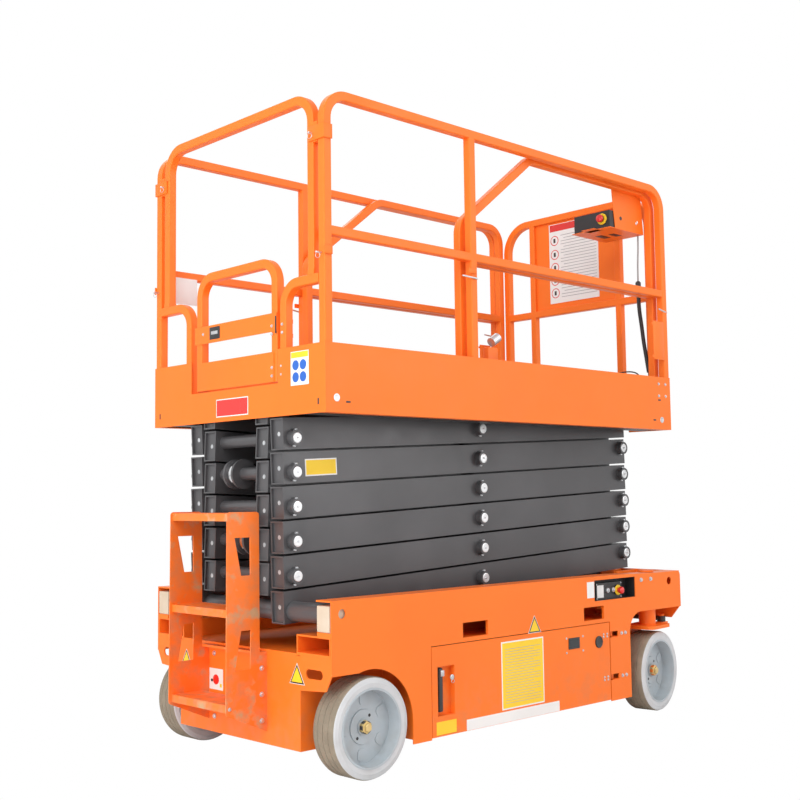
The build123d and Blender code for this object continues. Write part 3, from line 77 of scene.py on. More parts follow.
# ---- turned shapes: sides, and (radius, height) stations ----
PROFILES = {
    "nut": (6, [(0.0262, 0.0175), (0.0262, 0.032), (0.0235, 0.0345), (0.0195, 0.0345), (0.0175, 0.0365),
        (0.0175, 0.043), (0.0145, 0.045), (0.002, 0.0445)]),
    # black disc for a hole in a wheel disc: painted shade
    "hole_shade": (20, [(0.0062, 0.0128), (0.0062, 0.0131), (0.002, 0.0131)]),
    "pin_cap": (32, [(0.0215, 0), (0.0215, 0.0015), (0.020, 0.0025), (0.0175, 0.0025), (0.0165, 0.0018),
        (0.004, 0.0018)]),
    "nipple": (12, [(0.0035, 0), (0.0035, 0.002), (0.0022, 0.003), (0.0026, 0.005), (0.0015, 0.006)]),
    "lock": (24, [(0.011, 0), (0.011, 0.003), (0.009, 0.004), (0.002, 0.003)]),
    "meter": (40, [(0.027, 0), (0.027, 0.004), (0.024, 0.006), (0.020, 0.004), (0.002, 0.004)]),
    "socket_disc": (32, [(0.020, 0), (0.020, 0.002), (0.016, 0.003), (0.003, 0.003)]),
    "socket_dot": (20, [(0.006, 0), (0.006, 0.002), (0.002, 0.002)]),
    "key": (24, [(0.012, 0), (0.012, 0.006), (0.010, 0.008), (0.006, 0.008), (0.005, 0.012), (0.002, 0.013)]),
    "disc": (32, [(0.015, 0), (0.015, 0.001), (0.012, 0.0016), (0.009, 0.0008), (0.002, 0.0008)]),
    "blue_disc": (32, [(0.0195, 0), (0.0195, 0.0008)]),
    "lock_barrel": (32, [(0.012, 0), (0.021, 0.003), (0.021, 0.052), (0.018, 0.055), (0.008, 0.0555)]),
    "deck_stud": (32, [(0.026, -0.060), (0.026, -0.004), (0.020, 0.006), (0.008, 0.010)]),
    "sign_disc": (32, [(0.028, 0), (0.028, 0.0004), (0.0235, 0.0004), (0.0235, 0.0002)]),
    "sign_field": (32, [(0.0235, 0.0002), (0.0235, 0.0005)]),
    # black disc for the bracket's hole: painted shade
    "bracket_hole_shade": (24, [(0.010, 0), (0.010, 0.0006), (0.002, 0.0006)]),
}


# ---- sizes and colours a user would change ----
def colour_property(name, text, default):
    return FloatVectorProperty(name=name, description=text, default=default, subtype="COLOR", min=0, max=1)


def length_property(name, text, default, low, high):
    return FloatProperty(name=name, description=text, default=default, min=low, max=high, unit="LENGTH")


class LiftColours(bpy.types.PropertyGroup):
    """Colours of the lift's finishes."""

    paint: colour_property("Paint", "Chassis, platform and rails", (0.97, 0.192, 0.018))
    arms: colour_property("Arms", "Scissor arms and tubes", (0.082, 0.081, 0.085))
    rims: colour_property("Rims", "Wheel rims", (0.44, 0.49, 0.525))
    tyres: colour_property("Tyres", "Non-marking rubber", (0.60, 0.61, 0.625))
    tread: colour_property("Tread", "Tread worn by dust", (0.25, 0.21, 0.155))


class LiftSizes(bpy.types.PropertyGroup):
    """Sizes of the lift's small fittings."""

    bolt_radius: length_property("Bolt radius", "Corner radius of the common bolt heads", 0.0085, 0.004, 0.02)
    plate_thickness: length_property("Plate thickness", "Plates and signs", 0.0008, 0.0003, 0.003)
    floor_size: length_property("Floor size", "Width of the studio floor", 60.0, 10.0, 200.0)


# ---- materials ----
def connect(tree, node, **values):
    """Set or link a node's inputs, each by its name with '_' for a space."""
    for name, value in values.items():
        socket = node.inputs[name.replace("_", " ")]
        if isinstance(value, bpy.types.NodeSocket):
            tree.links.new(value, socket)
        else:
            socket.default_value = value
    return node


def add_node(tree, kind, **values):
    """A new shader node with its inputs set or linked."""
    return connect(tree, tree.nodes.new("ShaderNode" + kind), **values)


def node_math(tree, operation, first, second):
    """Math node on two sockets."""
    node = tree.nodes.new("ShaderNodeMath")
    node.operation = operation
    tree.links.new(first, node.inputs[0])
    tree.links.new(second, node.inputs[1])
    return node.outputs[0]


def node_mix(tree, factor, colour_a, colour_b):
    """Colour mix node; either colour may be a socket or three numbers."""
    mix = tree.nodes.new("ShaderNodeMix")
    mix.data_type = "RGBA"
    tree.links.new(factor, mix.inputs["Factor"])
    for socket, colour in ((mix.inputs[6], colour_a), (mix.inputs[7], colour_b)):
        if isinstance(colour, bpy.types.NodeSocket):
            tree.links.new(colour, socket)
        else:
            socket.default_value = (*colour, 1)
    return mix.outputs[2]


def node_range(tree, value, low, high, to_low, to_high):
    """Map Range node from low-high to to_low-to_high, clamped."""
    span = add_node(tree, "MapRange", Value=value, From_Min=low, From_Max=high, To_Min=to_low, To_Max=to_high)
    return span.outputs["Result"]


def node_noise(tree, place, scale, detail=4.0):
    """Noise from 0 to 1 on the given coordinates."""
    return add_node(tree, "TexNoise", Vector=place, Scale=scale, Detail=detail).outputs["Fac"]


def shade(colour, amount):
    """A colour made darker or lighter."""
    return tuple(min(1.0, channel * amount) for channel in colour)


DUST_TONE = (0.30, 0.24, 0.17)
SPECK_SCALE, GLOSS_SCALE, CELL_SCALE, CHECK_SCALE, BAR_SCALE = 18.0, 9.0, 42.0, 42.0, 22.0
RELIEF_HEIGHT = 0.002


def finish(name, colour, metallic=0.0, rough=(0.3, 0.5), second=None, patch_scale=3.0, patches=(0.45, 0.75),
           bump=0.03, bump_scale=220.0, pattern=None, coat=0.0, dust=0.0, dust_top=0.7, shine=0.5):
    """Procedural finish on Object coordinates: patches of a second tone, uneven gloss, fine bump,
    an optional pattern ('cells' or 'tread plate') and road dust low down."""
    material = bpy.data.materials.new(name)
    material.use_nodes = True
    tree = material.node_tree
    place = add_node(tree, "TexCoord").outputs["Object"]
    patch = node_range(tree, node_noise(tree, place, patch_scale), *patches, 0.0, 1.0)
    tone = node_mix(tree, patch, colour, second or shade(colour, 0.86))
    if dust:
        height = add_node(tree, "SeparateXYZ", Vector=place).outputs["Z"]
        low_down = node_range(tree, height, 0.0, dust_top, dust, 0.0)
        speck = node_range(tree, node_noise(tree, place, SPECK_SCALE, 8.0), 0.42, 0.7, 0.0, 1.0)
        tone = node_mix(tree, node_math(tree, "MULTIPLY", low_down, speck), tone, DUST_TONE)
    gloss = node_range(tree, node_noise(tree, place, GLOSS_SCALE), 0.3, 0.7, *rough)
    height, strength = node_noise(tree, place, bump_scale, 2.0), bump
    if pattern == "cells":
        cells = add_node(tree, "TexVoronoi", Vector=place, Scale=CELL_SCALE)
        cells.feature = "DISTANCE_TO_EDGE"
        height, strength = node_range(tree, cells.outputs["Distance"], 0.0, 0.12, 0.0, 1.0), 0.5
    elif pattern == "tread plate":
        slanted = add_node(tree, "Mapping", Vector=place, Rotation=(0, 0, pi / 4)).outputs[0]
        checks = add_node(tree, "TexChecker", Vector=slanted, Scale=CHECK_SCALE)
        bars = []
        for direction in ("X", "Y"):
            wave = add_node(tree, "TexWave", Vector=slanted, Scale=BAR_SCALE)
            wave.bands_direction = direction
            bars.append(node_range(tree, wave.outputs["Fac"], 0.62, 0.9, 0.0, 1.0))
        choose = tree.nodes.new("ShaderNodeMix")
        for index, value in ((0, checks.outputs["Fac"]), (2, bars[0]), (3, bars[1])):
            tree.links.new(value, choose.inputs[index])
        height, strength = choose.outputs[0], 0.55
    relief = add_node(tree, "Bump", Strength=strength, Distance=RELIEF_HEIGHT, Height=height)
    connect(tree, tree.nodes["Principled BSDF"], Base_Color=tone, Roughness=gloss, Metallic=metallic,
            Coat_Weight=coat, Coat_Roughness=0.12, Specular_IOR_Level=shine, Normal=relief.outputs["Normal"])
    return material


MATERIALS = {}


def make_finishes(colours):
    """All the finishes, kept by a plain name."""
    paint, arms, rims = tuple(colours.paint), tuple(colours.arms), tuple(colours.rims)
    tyres, tread = tuple(colours.tyres), tuple(colours.tread)
    plate = {"rough": (0.35, 0.5), "bump": 0.02}
    MATERIALS.update({
        "paint": finish("Orange powder coat", paint, rough=(0.34, 0.46), second=shade(paint, 0.94),
            bump=0.05, shine=0.3),
        "low paint": finish("Orange powder coat, dusty", paint, rough=(0.34, 0.50),
            second=shade(paint, 0.93), bump=0.05, shine=0.3, dust=0.3, dust_top=0.4),
        "step paint": finish("Orange paint, scuffed steps", paint, rough=(0.4, 0.7), patch_scale=14.0,
            second=(0.62, 0.34, 0.17), patches=(0.58, 0.72), bump=0.1, dust=0.5, dust_top=1.6),
        "arms": finish("Grey arm paint", arms, metallic=0.25, rough=(0.30, 0.44), second=shade(arms, 1.3),
            patch_scale=2.2, bump=0.08, bump_scale=160.0, coat=0.12),
        # Arm end plates: light grey is the plates' own colour; the small lighter patches of the second tone
        # are painted highlight.
        "arm end": finish("Glossy arm end plate, painted highlights", (0.42, 0.44, 0.45), metallic=0.3, rough=(0.16, 0.4),
            coat=0.4, second=(0.66, 0.69, 0.71), patch_scale=22.0, bump=0.2, bump_scale=70.0),
        "pin end": finish("Zinc plated pin end", (0.82, 0.83, 0.84), metallic=0.7, rough=(0.22, 0.4)),
        "zinc": finish("Zinc plated fastener", (0.63, 0.64, 0.66), metallic=0.85, rough=(0.28, 0.45)),
        "brass": finish("Yellow passivated nut", (0.72, 0.55, 0.25), metallic=0.8),
        "chrome": finish("Hard chrome", (0.78, 0.79, 0.80), metallic=1.0, rough=(0.06, 0.12), bump=0.01),
        "rim": finish("Rim paint", rims, rough=(0.32, 0.5), second=shade(rims, 0.86),
            patch_scale=8.0, dust=0.25, dust_top=0.4, coat=0.15),
        "tyre": finish("Non-marking rubber", tyres, rough=(0.62, 0.8), bump=0.1,
            second=shade(tyres, 0.88), patch_scale=10.0, dust=0.12, dust_top=0.42),
        "tread": finish("Dusty tread", tread, rough=(0.8, 0.95), second=shade(tread, 1.25),
            patch_scale=16.0, pattern="cells"),
        "cream": finish("Cream nylon block", (0.60, 0.48, 0.35), rough=(0.38, 0.55), bump=0.08,
            second=(0.66, 0.56, 0.44), patch_scale=8.0),
        "black": finish("Black moulded plastic", (0.018, 0.018, 0.020), rough=(0.35, 0.5), bump=0.2,
            bump_scale=500.0, second=(0.03, 0.03, 0.032)),
        "dark steel": finish("Black machinery enamel", (0.035, 0.035, 0.038), metallic=0.2,
            second=(0.055, 0.052, 0.05), patch_scale=6.0, dust=0.4),
        "battery": finish("Battery case", (0.02, 0.022, 0.03), rough=(0.35, 0.5), second=(0.05, 0.05, 0.055)),
        "rubber": finish("Black cable sheath", (0.022, 0.022, 0.024), rough=(0.5, 0.65), bump=0.1),
        "grey cable": finish("Grey cable sheath", (0.32, 0.33, 0.34), rough=(0.45, 0.6), bump=0.1),
        "deck": finish("Embossed deck plate", (0.28, 0.285, 0.29), metallic=0.35, rough=(0.4, 0.6),
            second=(0.36, 0.33, 0.29), patch_scale=5.0, pattern="tread plate"),
        "red": finish("Red button", (0.72, 0.02, 0.015), rough=(0.25, 0.35), bump=0.02, coat=0.3),
        "yellow": finish("Yellow plate", (0.93, 0.62, 0.02), second=(0.88, 0.56, 0.02), **plate),
        "white": finish("White plate", (0.84, 0.84, 0.83), second=(0.78, 0.78, 0.77), **plate),
        "blue": finish("Blue disc", (0.02, 0.13, 0.55), **plate),
        "rule": finish("Grey print rule", (0.42, 0.42, 0.44), rough=(0.4, 0.5), bump=0.0),
        "glass": finish("Dark display", (0.02, 0.025, 0.03), rough=(0.08, 0.15), bump=0.0),
    })


def both(*names):
    """The names of the near and the far piece of each kind."""
    return tuple(f"{name}_{label}" for name in names for _, label in SIDES)


NODE_FINISH = {
    "paint": both("side_plate", "guard_rail", "extension_rail") + (
        "chassis_frame", "platform_deck", "rear_hoop", "entry_rails", "entry_gate", "front_hoop",
        "front_panel", "control_bracket"),
    "low paint": both("door", "knuckle") + ("chassis_belly",),
    "step paint": ("ladder",),
    "arms": tuple(f"{kind}_arms_{level}" for kind in ("inner", "outer") for level in range(1, LEVELS + 1))
    + ("lower_slide_shaft", "lower_lift_barrel", "upper_lift_barrel"),
    "rim": both("rim_rear", "rim_front"),
    "cream": ("lower_slide_blocks", "upper_slide_blocks"),
    "dark steel": ("rear_axle", "track_rod", "hydraulic_unit", "platform_underframe"),
    "battery": ("battery_pack",),
    "black": ("ground_control", "control_box", "cable_connector"),
    "chrome": ("lower_lift_rod", "upper_lift_rod"),
    "deck": ("extension_deck",),
    "white": ("sign_plate",),
}


# ---- modelling ----
def select_nothing():
    bpy.ops.object.select_all(action="DESELECT")


def edit(piece):
    """Enter edit mode on a piece with all of its mesh selected."""
    select_nothing()
    piece.select_set(True)
    bpy.context.view_layer.objects.active = piece
    bpy.ops.object.mode_set(mode="EDIT")
    bpy.ops.mesh.select_all(action="SELECT")


def end_edit(piece, smooth_angle=35):
    """Point the faces outwards, leave edit mode and shade smooth up to an angle."""
    bpy.ops.mesh.select_all(action="SELECT")
    bpy.ops.mesh.remove_doubles(threshold=1e-6)
    bpy.ops.mesh.normals_make_consistent(inside=False)
    bpy.ops.object.mode_set(mode="OBJECT")
    bpy.ops.object.shade_smooth_by_angle(angle=radians(smooth_angle))
    return piece


def joined(pieces, name):
    """The pieces as one object, which is the first of them."""
    select_nothing()
    for piece in pieces:
        piece.select_set(True)
    bpy.context.view_layer.objects.active = pieces[0]
    if len(pieces) > 1:
        bpy.ops.object.join()
    pieces[0].name = name
    return pieces[0]


def blocky(name, low, high, edge=0.002, steps=2):
    """A block between two corners with its edges rounded."""
    select_nothing()
    middle = [(a + b) / 2 for a, b in zip(low, high)]
    bpy.ops.mesh.primitive_cube_add(size=1, location=middle)
    piece = bpy.context.object
    piece.name = name
    piece.scale = [abs(b - a) for a, b in zip(low, high)]
    bpy.ops.object.transform_apply(location=True, rotation=True, scale=True)
    edit(piece)
    bpy.ops.mesh.bevel(offset=edge, segments=steps, affect="EDGES")
    return end_edit(piece)


def turned(name, stations, sides=32):
    """A round piece grown along +Z from a disc by extruding and scaling through (radius, height) stations."""
    select_nothing()
    radius, height = stations[0]
    bpy.ops.mesh.primitive_circle_add(vertices=sides, radius=radius, fill_type="NGON",
                                      location=(0, 0, height))
    piece = bpy.context.object
    piece.name = name
    bpy.ops.object.transform_apply(location=True, rotation=True, scale=True)
    edit(piece)
    for (r0, z0), (r1, z1) in zip(stations, stations[1:]):
        bpy.ops.mesh.extrude_region_move(TRANSFORM_OT_translate={"value": (0, 0, z1 - z0)})
        bpy.ops.transform.resize(value=(r1 / r0, r1 / r0, 1), center_override=(0, 0, z1))
    return end_edit(piece)


def shaped(key):
    """The turned shape that PROFILES keeps under a name."""
    sides, stations = PROFILES[key]
    return turned(f"{key}_pattern", stations, sides)


def along(point, direction, turn=0.0):
    """Matrix that takes +Z to a direction and the origin to a point."""
    quaternion = Vector(direction).to_track_quat("Z", "Y")
    return Matrix.Translation(point) @ quaternion.to_matrix().to_4x4() @ Matrix.Rotation(turn, 4, "Z")


def copied(pattern, name, places):
    """One object made of copies of a modelled pattern, one for each matrix."""
    copies = []
    for place in places:
        piece = pattern.copy()
        piece.data = pattern.data.copy()
        piece.data.transform(place)
        bpy.context.scene.collection.objects.link(piece)
        copies.append(piece)
    return joined(copies, name)


def dress(piece, body, material, replaced=()):
    """Give a finished piece its material, slot and the body it rides on."""
    piece.data.materials.clear()
    piece.data.materials.append(MATERIALS[material])
    if replaced:
        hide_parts(*replaced)
    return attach(piece, body)


def fit(pattern, name, places, body, material):
    """Dressed copies of a pattern, which is used up."""
    piece = dress(copied(pattern, name, places), body, material)
    bpy.data.objects.remove(pattern)
    return piece


def hex_head(name, radius, height):
    """Hexagon bolt head on a washer, its top edge chamfered."""
    washer, washer_top = radius * 1.25, height * 0.18
    head = turned(name, [(radius, washer_top), (radius, height * 0.85), (radius * 0.86, height)], 6)
    return joined([head, turned(name, [(washer, 0), (washer, washer_top)], 20)], name)


def bolts(name, body, spots, radius, height, material="zinc"):
    """Bolt heads at (point, direction) spots, each turned a little further than the last."""
    places = [along(point, out, 0.3 * order) for order, (point, out) in enumerate(spots)]
    return fit(hex_head(name, radius, height), name, places, body, material)


def side_spots(x_values, z_values, y, side):
    """(point, direction) spots in rows on a face that looks to one side."""
    return [((x, y * side, z), (0, side, 0)) for x in x_values for z in z_values]


def rear_spots(x, points):
    """(point, direction) spots at (y, z) points on a face that looks to the rear."""
    return [((x, y, z), REARWARD) for y, z in points]


def side_box(x, y, z, side):
    """Low and high corner of a block from its (low, high) pairs, y counted outwards on one side."""
    ys = sorted((y[0] * side, y[1] * side))
    return (x[0], ys[0], z[0]), (x[1], ys[1], z[1])


def side_plate(name, body, material, x, z, y, thick=None):
    """Thin plate on a face that looks to the near side; x and z are (low, high)."""
    thick = thick or bpy.context.scene.lift_sizes.plate_thickness
    piece = blocky(name, *side_box(x, (y, y + thick), z, NEAR), edge=thick * 0.4, steps=1)
    return dress(piece, body, material)


def rear_plate(name, body, material, y, z, x, thick=None):
    """Thin plate on a face that looks to the rear; y and z are (low, high)."""
    thick = thick or bpy.context.scene.lift_sizes.plate_thickness
    piece = blocky(name, (x - thick, y[0], z[0]), (x, y[1], z[1]), edge=thick * 0.4, steps=1)
    return dress(piece, body, material)


def rods(name, body, spans, radius, material="zinc"):
    """Round-ended pins, each from one point to another."""
    pieces = []
    for start, end in spans:
        reach = Vector(end) - Vector(start)
        length, round_off, tip = reach.length, radius * 0.4, radius * 0.7
        pattern = turned(name + "_pattern", [(tip, 0), (radius, round_off), (radius, length - round_off),
                                             (tip, length)], 16)
        pieces.append(copied(pattern, name, [along(start, reach)]))
        bpy.data.objects.remove(pattern)
    return dress(joined(pieces, name), body, material)


def rings(name, body, spots, radius, wire, material="zinc"):
    """Oval wire rings at (centre, axis) spots."""
    select_nothing()
    bpy.ops.mesh.primitive_torus_add(major_radius=radius, minor_radius=wire,
                                     major_segments=28, minor_segments=8)
    pattern = bpy.context.object
    edit(pattern)
    bpy.ops.transform.resize(value=(1, 0.72, 1))
    end_edit(pattern)
    return fit(pattern, name, [along(centre, axis) for centre, axis in spots], body, material)


def plates(name, body, boxes, material="paint", edge=0.0015):
    """Several rounded plates as one piece, each a (low, high) pair of corners."""
    return dress(joined([blocky(name, low, high, edge) for low, high in boxes], name), body, material)


def stop_button(name, body, point, direction, size=1.0):
    """Red mushroom button with its yellow ring."""
    ring = turned(name + "_ring", [(0.030 * size, 0), (0.030 * size, 0.003), (0.027 * size, 0.005),
                                   (0.012, 0.005)], 40)
    cap = turned(name + "_cap", [(0.011, 0.004), (0.011, 0.014), (0.020 * size, 0.016), (0.021 * size, 0.022),
                                 (0.018 * size, 0.028), (0.010 * size, 0.031), (0.002, 0.032)], 40)
    for pattern, material, suffix in ((ring, "yellow", "_ring"), (cap, "red", "_cap")):
        fit(pattern, f"{name}{suffix}_set", [along(point, direction)], body, material)


# ---- camera, cables ----
CAMERA_PLACE = (-3.8356, -3.8865, 1.0578)
CAMERA_YAW, CAMERA_PITCH, CAMERA_ROLL = radians(46.32), radians(4.73), radians(-0.76)
LENS_MM, SENSOR_MM = 52.26, 36.0


def add_camera():
    """The camera that the main view is rendered from."""
    flat = cos(CAMERA_PITCH)
    ahead = Vector((flat * cos(CAMERA_YAW), flat * sin(CAMERA_YAW), sin(CAMERA_PITCH)))
    level = Vector((sin(CAMERA_YAW), -cos(CAMERA_YAW), 0))
    above = level.cross(ahead)
    right = level * cos(CAMERA_ROLL) + above * sin(CAMERA_ROLL)
    up = above * cos(CAMERA_ROLL) - level * sin(CAMERA_ROLL)
    data = bpy.data.cameras.new("Camera")
    data.lens, data.sensor_width, data.clip_end = LENS_MM, SENSOR_MM, 300
    camera = bpy.data.objects.new("Camera", data)
    bpy.context.scene.collection.objects.link(camera)
    turn = Matrix((right, up, -ahead)).transposed().to_4x4()
    camera.matrix_world = Matrix.Translation(CAMERA_PLACE) @ turn
    bpy.context.scene.camera = camera


def cable(name, points, radius, material, replaced):
    """Free cable as a smooth NURBS line through the route's points."""
    curve = bpy.data.curves.new(name, "CURVE")
    curve.dimensions = "3D"
    spline = curve.splines.new("NURBS")
    spline.points.add(len(points) - 1)
    for point, place in zip(spline.points, points):
        point.co = (*place, 1)
    spline.order_u = 3
    spline.use_endpoint_u = True
    curve.bevel_depth = radius
    curve.bevel_resolution = 6
    curve.resolution_u = 16
    curve.use_fill_caps = True
    piece = bpy.data.objects.new(name, curve)
    bpy.context.scene.collection.objects.link(piece)
    return dress(piece, "extension", material, replaced)


LEAD_POINTS = ((1.147, -0.465, 2.381), (1.147, -0.465, 2.320), (1.137, -0.465, 2.225), (1.137, -0.465, 2.144))
CONDUIT_POINTS = ((1.137, -0.465, 2.066), (1.137, -0.465, 2.006), (1.155, -0.466, 1.918),
                  (1.163, -0.470, 1.830), (1.172, -0.478, 1.748), (1.180, -0.484, 1.673))
DECK_CABLE_POINTS = ((1.180, -0.484, 1.673), (1.1823, -0.4857, 1.6512), (1.184, -0.468, 1.631),
                     (1.187, -0.445, 1.629), (1.190, -0.426, 1.650), (1.192, -0.407, 1.675),
                     (1.1935, -0.372, 1.687), (1.1955, -0.330, 1.690), (1.1955, -0.290, 1.688))


class LIFT_OT_camera_and_cables(bpy.types.Operator):
    """Place the camera and lay the three cables of the platform control"""

    bl_idname = "lift.camera_and_cables"
    bl_label = "Camera and cables"

    def execute(self, context):
        add_camera()
        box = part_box("cable_connector")
        middle = ((box[0][0] + box[1][0]) / 2, (box[0][1] + box[1][1]) / 2)
        height = box[1][2] - box[0][2]
        wide, waist = 0.0138, 0.0115
        stations = [(0.0105, 0), (wide, 0.003), (wide, height * 0.42), (waist, height * 0.45),
                    (waist, height * 0.55), (wide, height * 0.58), (wide, height * 0.9), (0.0065, height)]
        connector = turned("connector_body", stations, 28)
        connector.data.transform(Matrix.Translation((*middle, box[0][2])))
        dress(connector, "extension", "black", ("cable_connector",))
        lead = cable("control_lead_cable", LEAD_POINTS, 0.004, "grey cable", ("control_lead",))
        conduit = cable("control_conduit_cable", CONDUIT_POINTS, 0.010, "rubber", ("control_conduit",))
        deck_cable = cable("deck_cable_line", DECK_CABLE_POINTS, 0.0035, "rubber", ("deck_cable",))
        return {"FINISHED"}


class LIFT_OT_finishes(bpy.types.Operator):
    """Make the finishes and put them on the frame's own pieces"""

    bl_idname = "lift.finishes"
    bl_label = "Finishes"

    def execute(self, context):
        make_finishes(context.scene.lift_colours)
        for material, names in NODE_FINISH.items():
            for name in names:
                slots = NODES[name].data.materials
                slots.clear()
                slots.append(MATERIALS[material])
        return {"FINISHED"}


# ---- wheels ----
TYRE_HALF_WIDTH, TYRE_BORE, TREAD_R, GROOVE_R = 0.0635, 0.1500, 0.1903, 0.1880
GROOVES_Y, GROOVE_LIP, GROOVE_FLOOR = (-0.030, 0.0, 0.030), 0.003, 0.0015
WORN_FROM_R = 0.1845
DISC_HOLE_R, DISC_HOLE_TURNS = 0.050, (0.9, 0.9 + pi)


def wheel_place(end, side):
    """Matrix from a wheel drawn round the origin, outer side +Y, to its place."""
    joint = JOINTS[f"wheel_spin_{end}_{'near' if side == NEAR else 'far'}"]
    axis = Vector(joint["axis"]) * side
    spin = Matrix.Rotation(atan2(-axis.x, axis.y), 4, "Z")
    return Matrix.Translation(joint["pos_m"]) @ spin


def tyre_shape(name):
    """Tyre with a bulging side wall, a raised ring on it and grooves round its tread."""
    half = TYRE_HALF_WIDTH
    wall = [(TYRE_BORE, -half + 0.002), (0.168, -half + 0.0005), (0.170, -half + 0.002),
            (0.180, -half + 0.002), (0.187, -half + 0.006), (TREAD_R, -half + 0.014)]
    stations = list(wall)
    for groove in GROOVES_Y:
        stations += [(TREAD_R, groove - GROOVE_LIP), (GROOVE_R, groove - GROOVE_FLOOR),
                     (GROOVE_R, groove + GROOVE_FLOOR), (TREAD_R, groove + GROOVE_LIP)]
    stations += [(r, -w) for r, w in reversed(wall)]
    select_nothing()
    bpy.ops.mesh.primitive_circle_add(vertices=len(stations), radius=0.02, location=(0, 0, 0))
    piece = bpy.context.object
    piece.name = name
    for vertex, (r, w) in zip(piece.data.vertices, stations):
        vertex.co = (r, w, 0)
    edit(piece)
    bpy.ops.mesh.spin(steps=96, angle=2 * pi, center=(0, 0, 0), axis=(0, 1, 0))
    bpy.ops.mesh.select_all(action="SELECT")
    return end_edit(piece, 40)


class LIFT_OT_wheels(bpy.types.Operator):
    """Tyres with a grooved, worn tread, hub nuts and black discs as painted shade in the holes of the wheel
    discs
    """

    bl_idname = "lift.wheels"
    bl_label = "Wheels"

    def execute(self, context):
        outward = Matrix.Rotation(-pi / 2, 4, "X")
        patterns = tyre, nut, shade_disc = tyre_shape("tyre_pattern"), shaped("nut"), shaped("hole_shade")
        for end in ("rear", "front"):
            for side, label in SIDES:
                place, body = wheel_place(end, side), f"wheel_{end}_{label}"
                piece = dress(copied(tyre, f"tyre_{end}_{label}_grooved", [place]), body, "tyre",
                              (f"tyre_{end}_{label}",))
                piece.data.materials.append(MATERIALS["tread"])
                centre, axle = place.translation, place.to_3x3() @ Vector((0, 1, 0))
                for face in piece.data.polygons:
                    arm = face.center - centre
                    if (arm - axle * arm.dot(axle)).length > WORN_FROM_R:
                        face.material_index = 1
                dress(copied(nut, f"hub_nut_{end}_{label}", [place @ outward]), body, "brass")
                # Black discs where the wheel discs have holes: painted shade inside the holes.
                step = Matrix.Translation((DISC_HOLE_R, 0, 0)) @ outward
                shade_places = [place @ Matrix.Rotation(turn, 4, "Y") @ step for turn in DISC_HOLE_TURNS]
                dress(copied(shade_disc, f"disc_holes_{end}_{label}", shade_places), body, "black")
        for pattern in patterns:
            bpy.data.objects.remove(pattern)
        return {"FINISHED"}


# ---- scissor ----
ARM_SLOPE = 0.0465  # radians, parked
END_PLATE_REACH = (-1.1120, 1.1040)  # from the middle pin along the arm
END_PLATE_HALF = (0.0015, 0.0335, 0.0560)
ARM_KINDS = (("outer", 0.2765, 1), ("inner", 0.180, -1))  # kind, y of its middle, sign of its slope
COLLAR_SCREW_Y, COLLAR_SCREW_LIFT, COLLAR_SCREW_LEAN = 0.3295, 0.0303, 0.004


def arm_pins(level):
    """The (x, z) of an inner arm's rear, middle and front pins."""
    low, high = BASE_PIN_Z + (level - 1) * LEVEL_RISE, BASE_PIN_Z + level * LEVEL_RISE
    return (REAR_PIN_X, high), (MID_PIN_X, (low + high) / 2), (FRONT_PIN_X, low)


class LIFT_OT_scissor(bpy.types.Operator):
    """Pin ends, collar screws, grease nipples and end plates of the scissor arms"""

    bl_idname = "lift.scissor"
    bl_label = "Scissor fittings"

    def execute(self, context):
        cap, nipple, screw = shaped("pin_cap"), shaped("nipple"), hex_head("screw_pattern", 0.0065, 0.006)
        for level in range(1, LEVELS + 1):
            caps, nipples, screws = [], [], []
            end_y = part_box(f"inner_arms_{min(level, LEVELS - 1)}")[1][1]
            rear, middle, front = arm_pins(level)
            pins = ([rear] if level < LEVELS else []) + [middle] + ([front] if level > 1 else [])
            for x, z in pins:
                for side in (NEAR, FAR):
                    caps.append(along((x, side * end_y, z), (0, side, 0)))
                    nipples.append(along((x, side * (end_y + 0.002), z), (0, side, 0)))
            low = BASE_PIN_Z + (level - 1) * LEVEL_RISE
            collars = [(MID_PIN_X, low + LEVEL_RISE / 2), (FRONT_PIN_X, low + LEVEL_RISE)]
            if level > 1:
                collars.append((REAR_PIN_X, low))
            for x, z in collars:
                for side in (NEAR, FAR):
                    for lift in (1, -1):
                        x_screw, z_screw = x + lift * COLLAR_SCREW_LEAN, z + lift * COLLAR_SCREW_LIFT
                        screws.append(along((x_screw, side * COLLAR_SCREW_Y, z_screw), (0, 0, lift)))
            dress(copied(cap, f"pin_caps_{level}", caps), f"inner_{level}", "pin end")
            dress(copied(nipple, f"grease_nipples_{level}", nipples), f"inner_{level}", "zinc")
            dress(copied(screw, f"collar_screws_{level}", screws), f"outer_{level}", "zinc")
        for pattern in (cap, nipple, screw):
            bpy.data.objects.remove(pattern)
        self.end_plates()
        return {"FINISHED"}

    def end_plates(self):
        """Light grey plates in the recessed ends of the arms; their small lighter patches are painted
        highlight.
        """
        low_corner = [-half for half in END_PLATE_HALF]
        for level in range(1, LEVELS + 1):
            middle_z = BASE_PIN_Z + (level - 0.5) * LEVEL_RISE
            for kind, middle_y, rises in ARM_KINDS:
                pattern = blocky("end_plate_pattern", low_corner, END_PLATE_HALF, 0.0014, 3)
                slope = Matrix.Rotation(-rises * ARM_SLOPE, 4, "Y")
                centre = Matrix.Translation((MID_PIN_X, 0, middle_z)) @ slope
                places = [centre @ Matrix.Translation((reach, side * middle_y, 0))
                          for reach in END_PLATE_REACH for side in (NEAR, FAR)]
                fit(pattern, f"{kind}_end_plates_{level}", places, f"{kind}_{level}", "arm end")


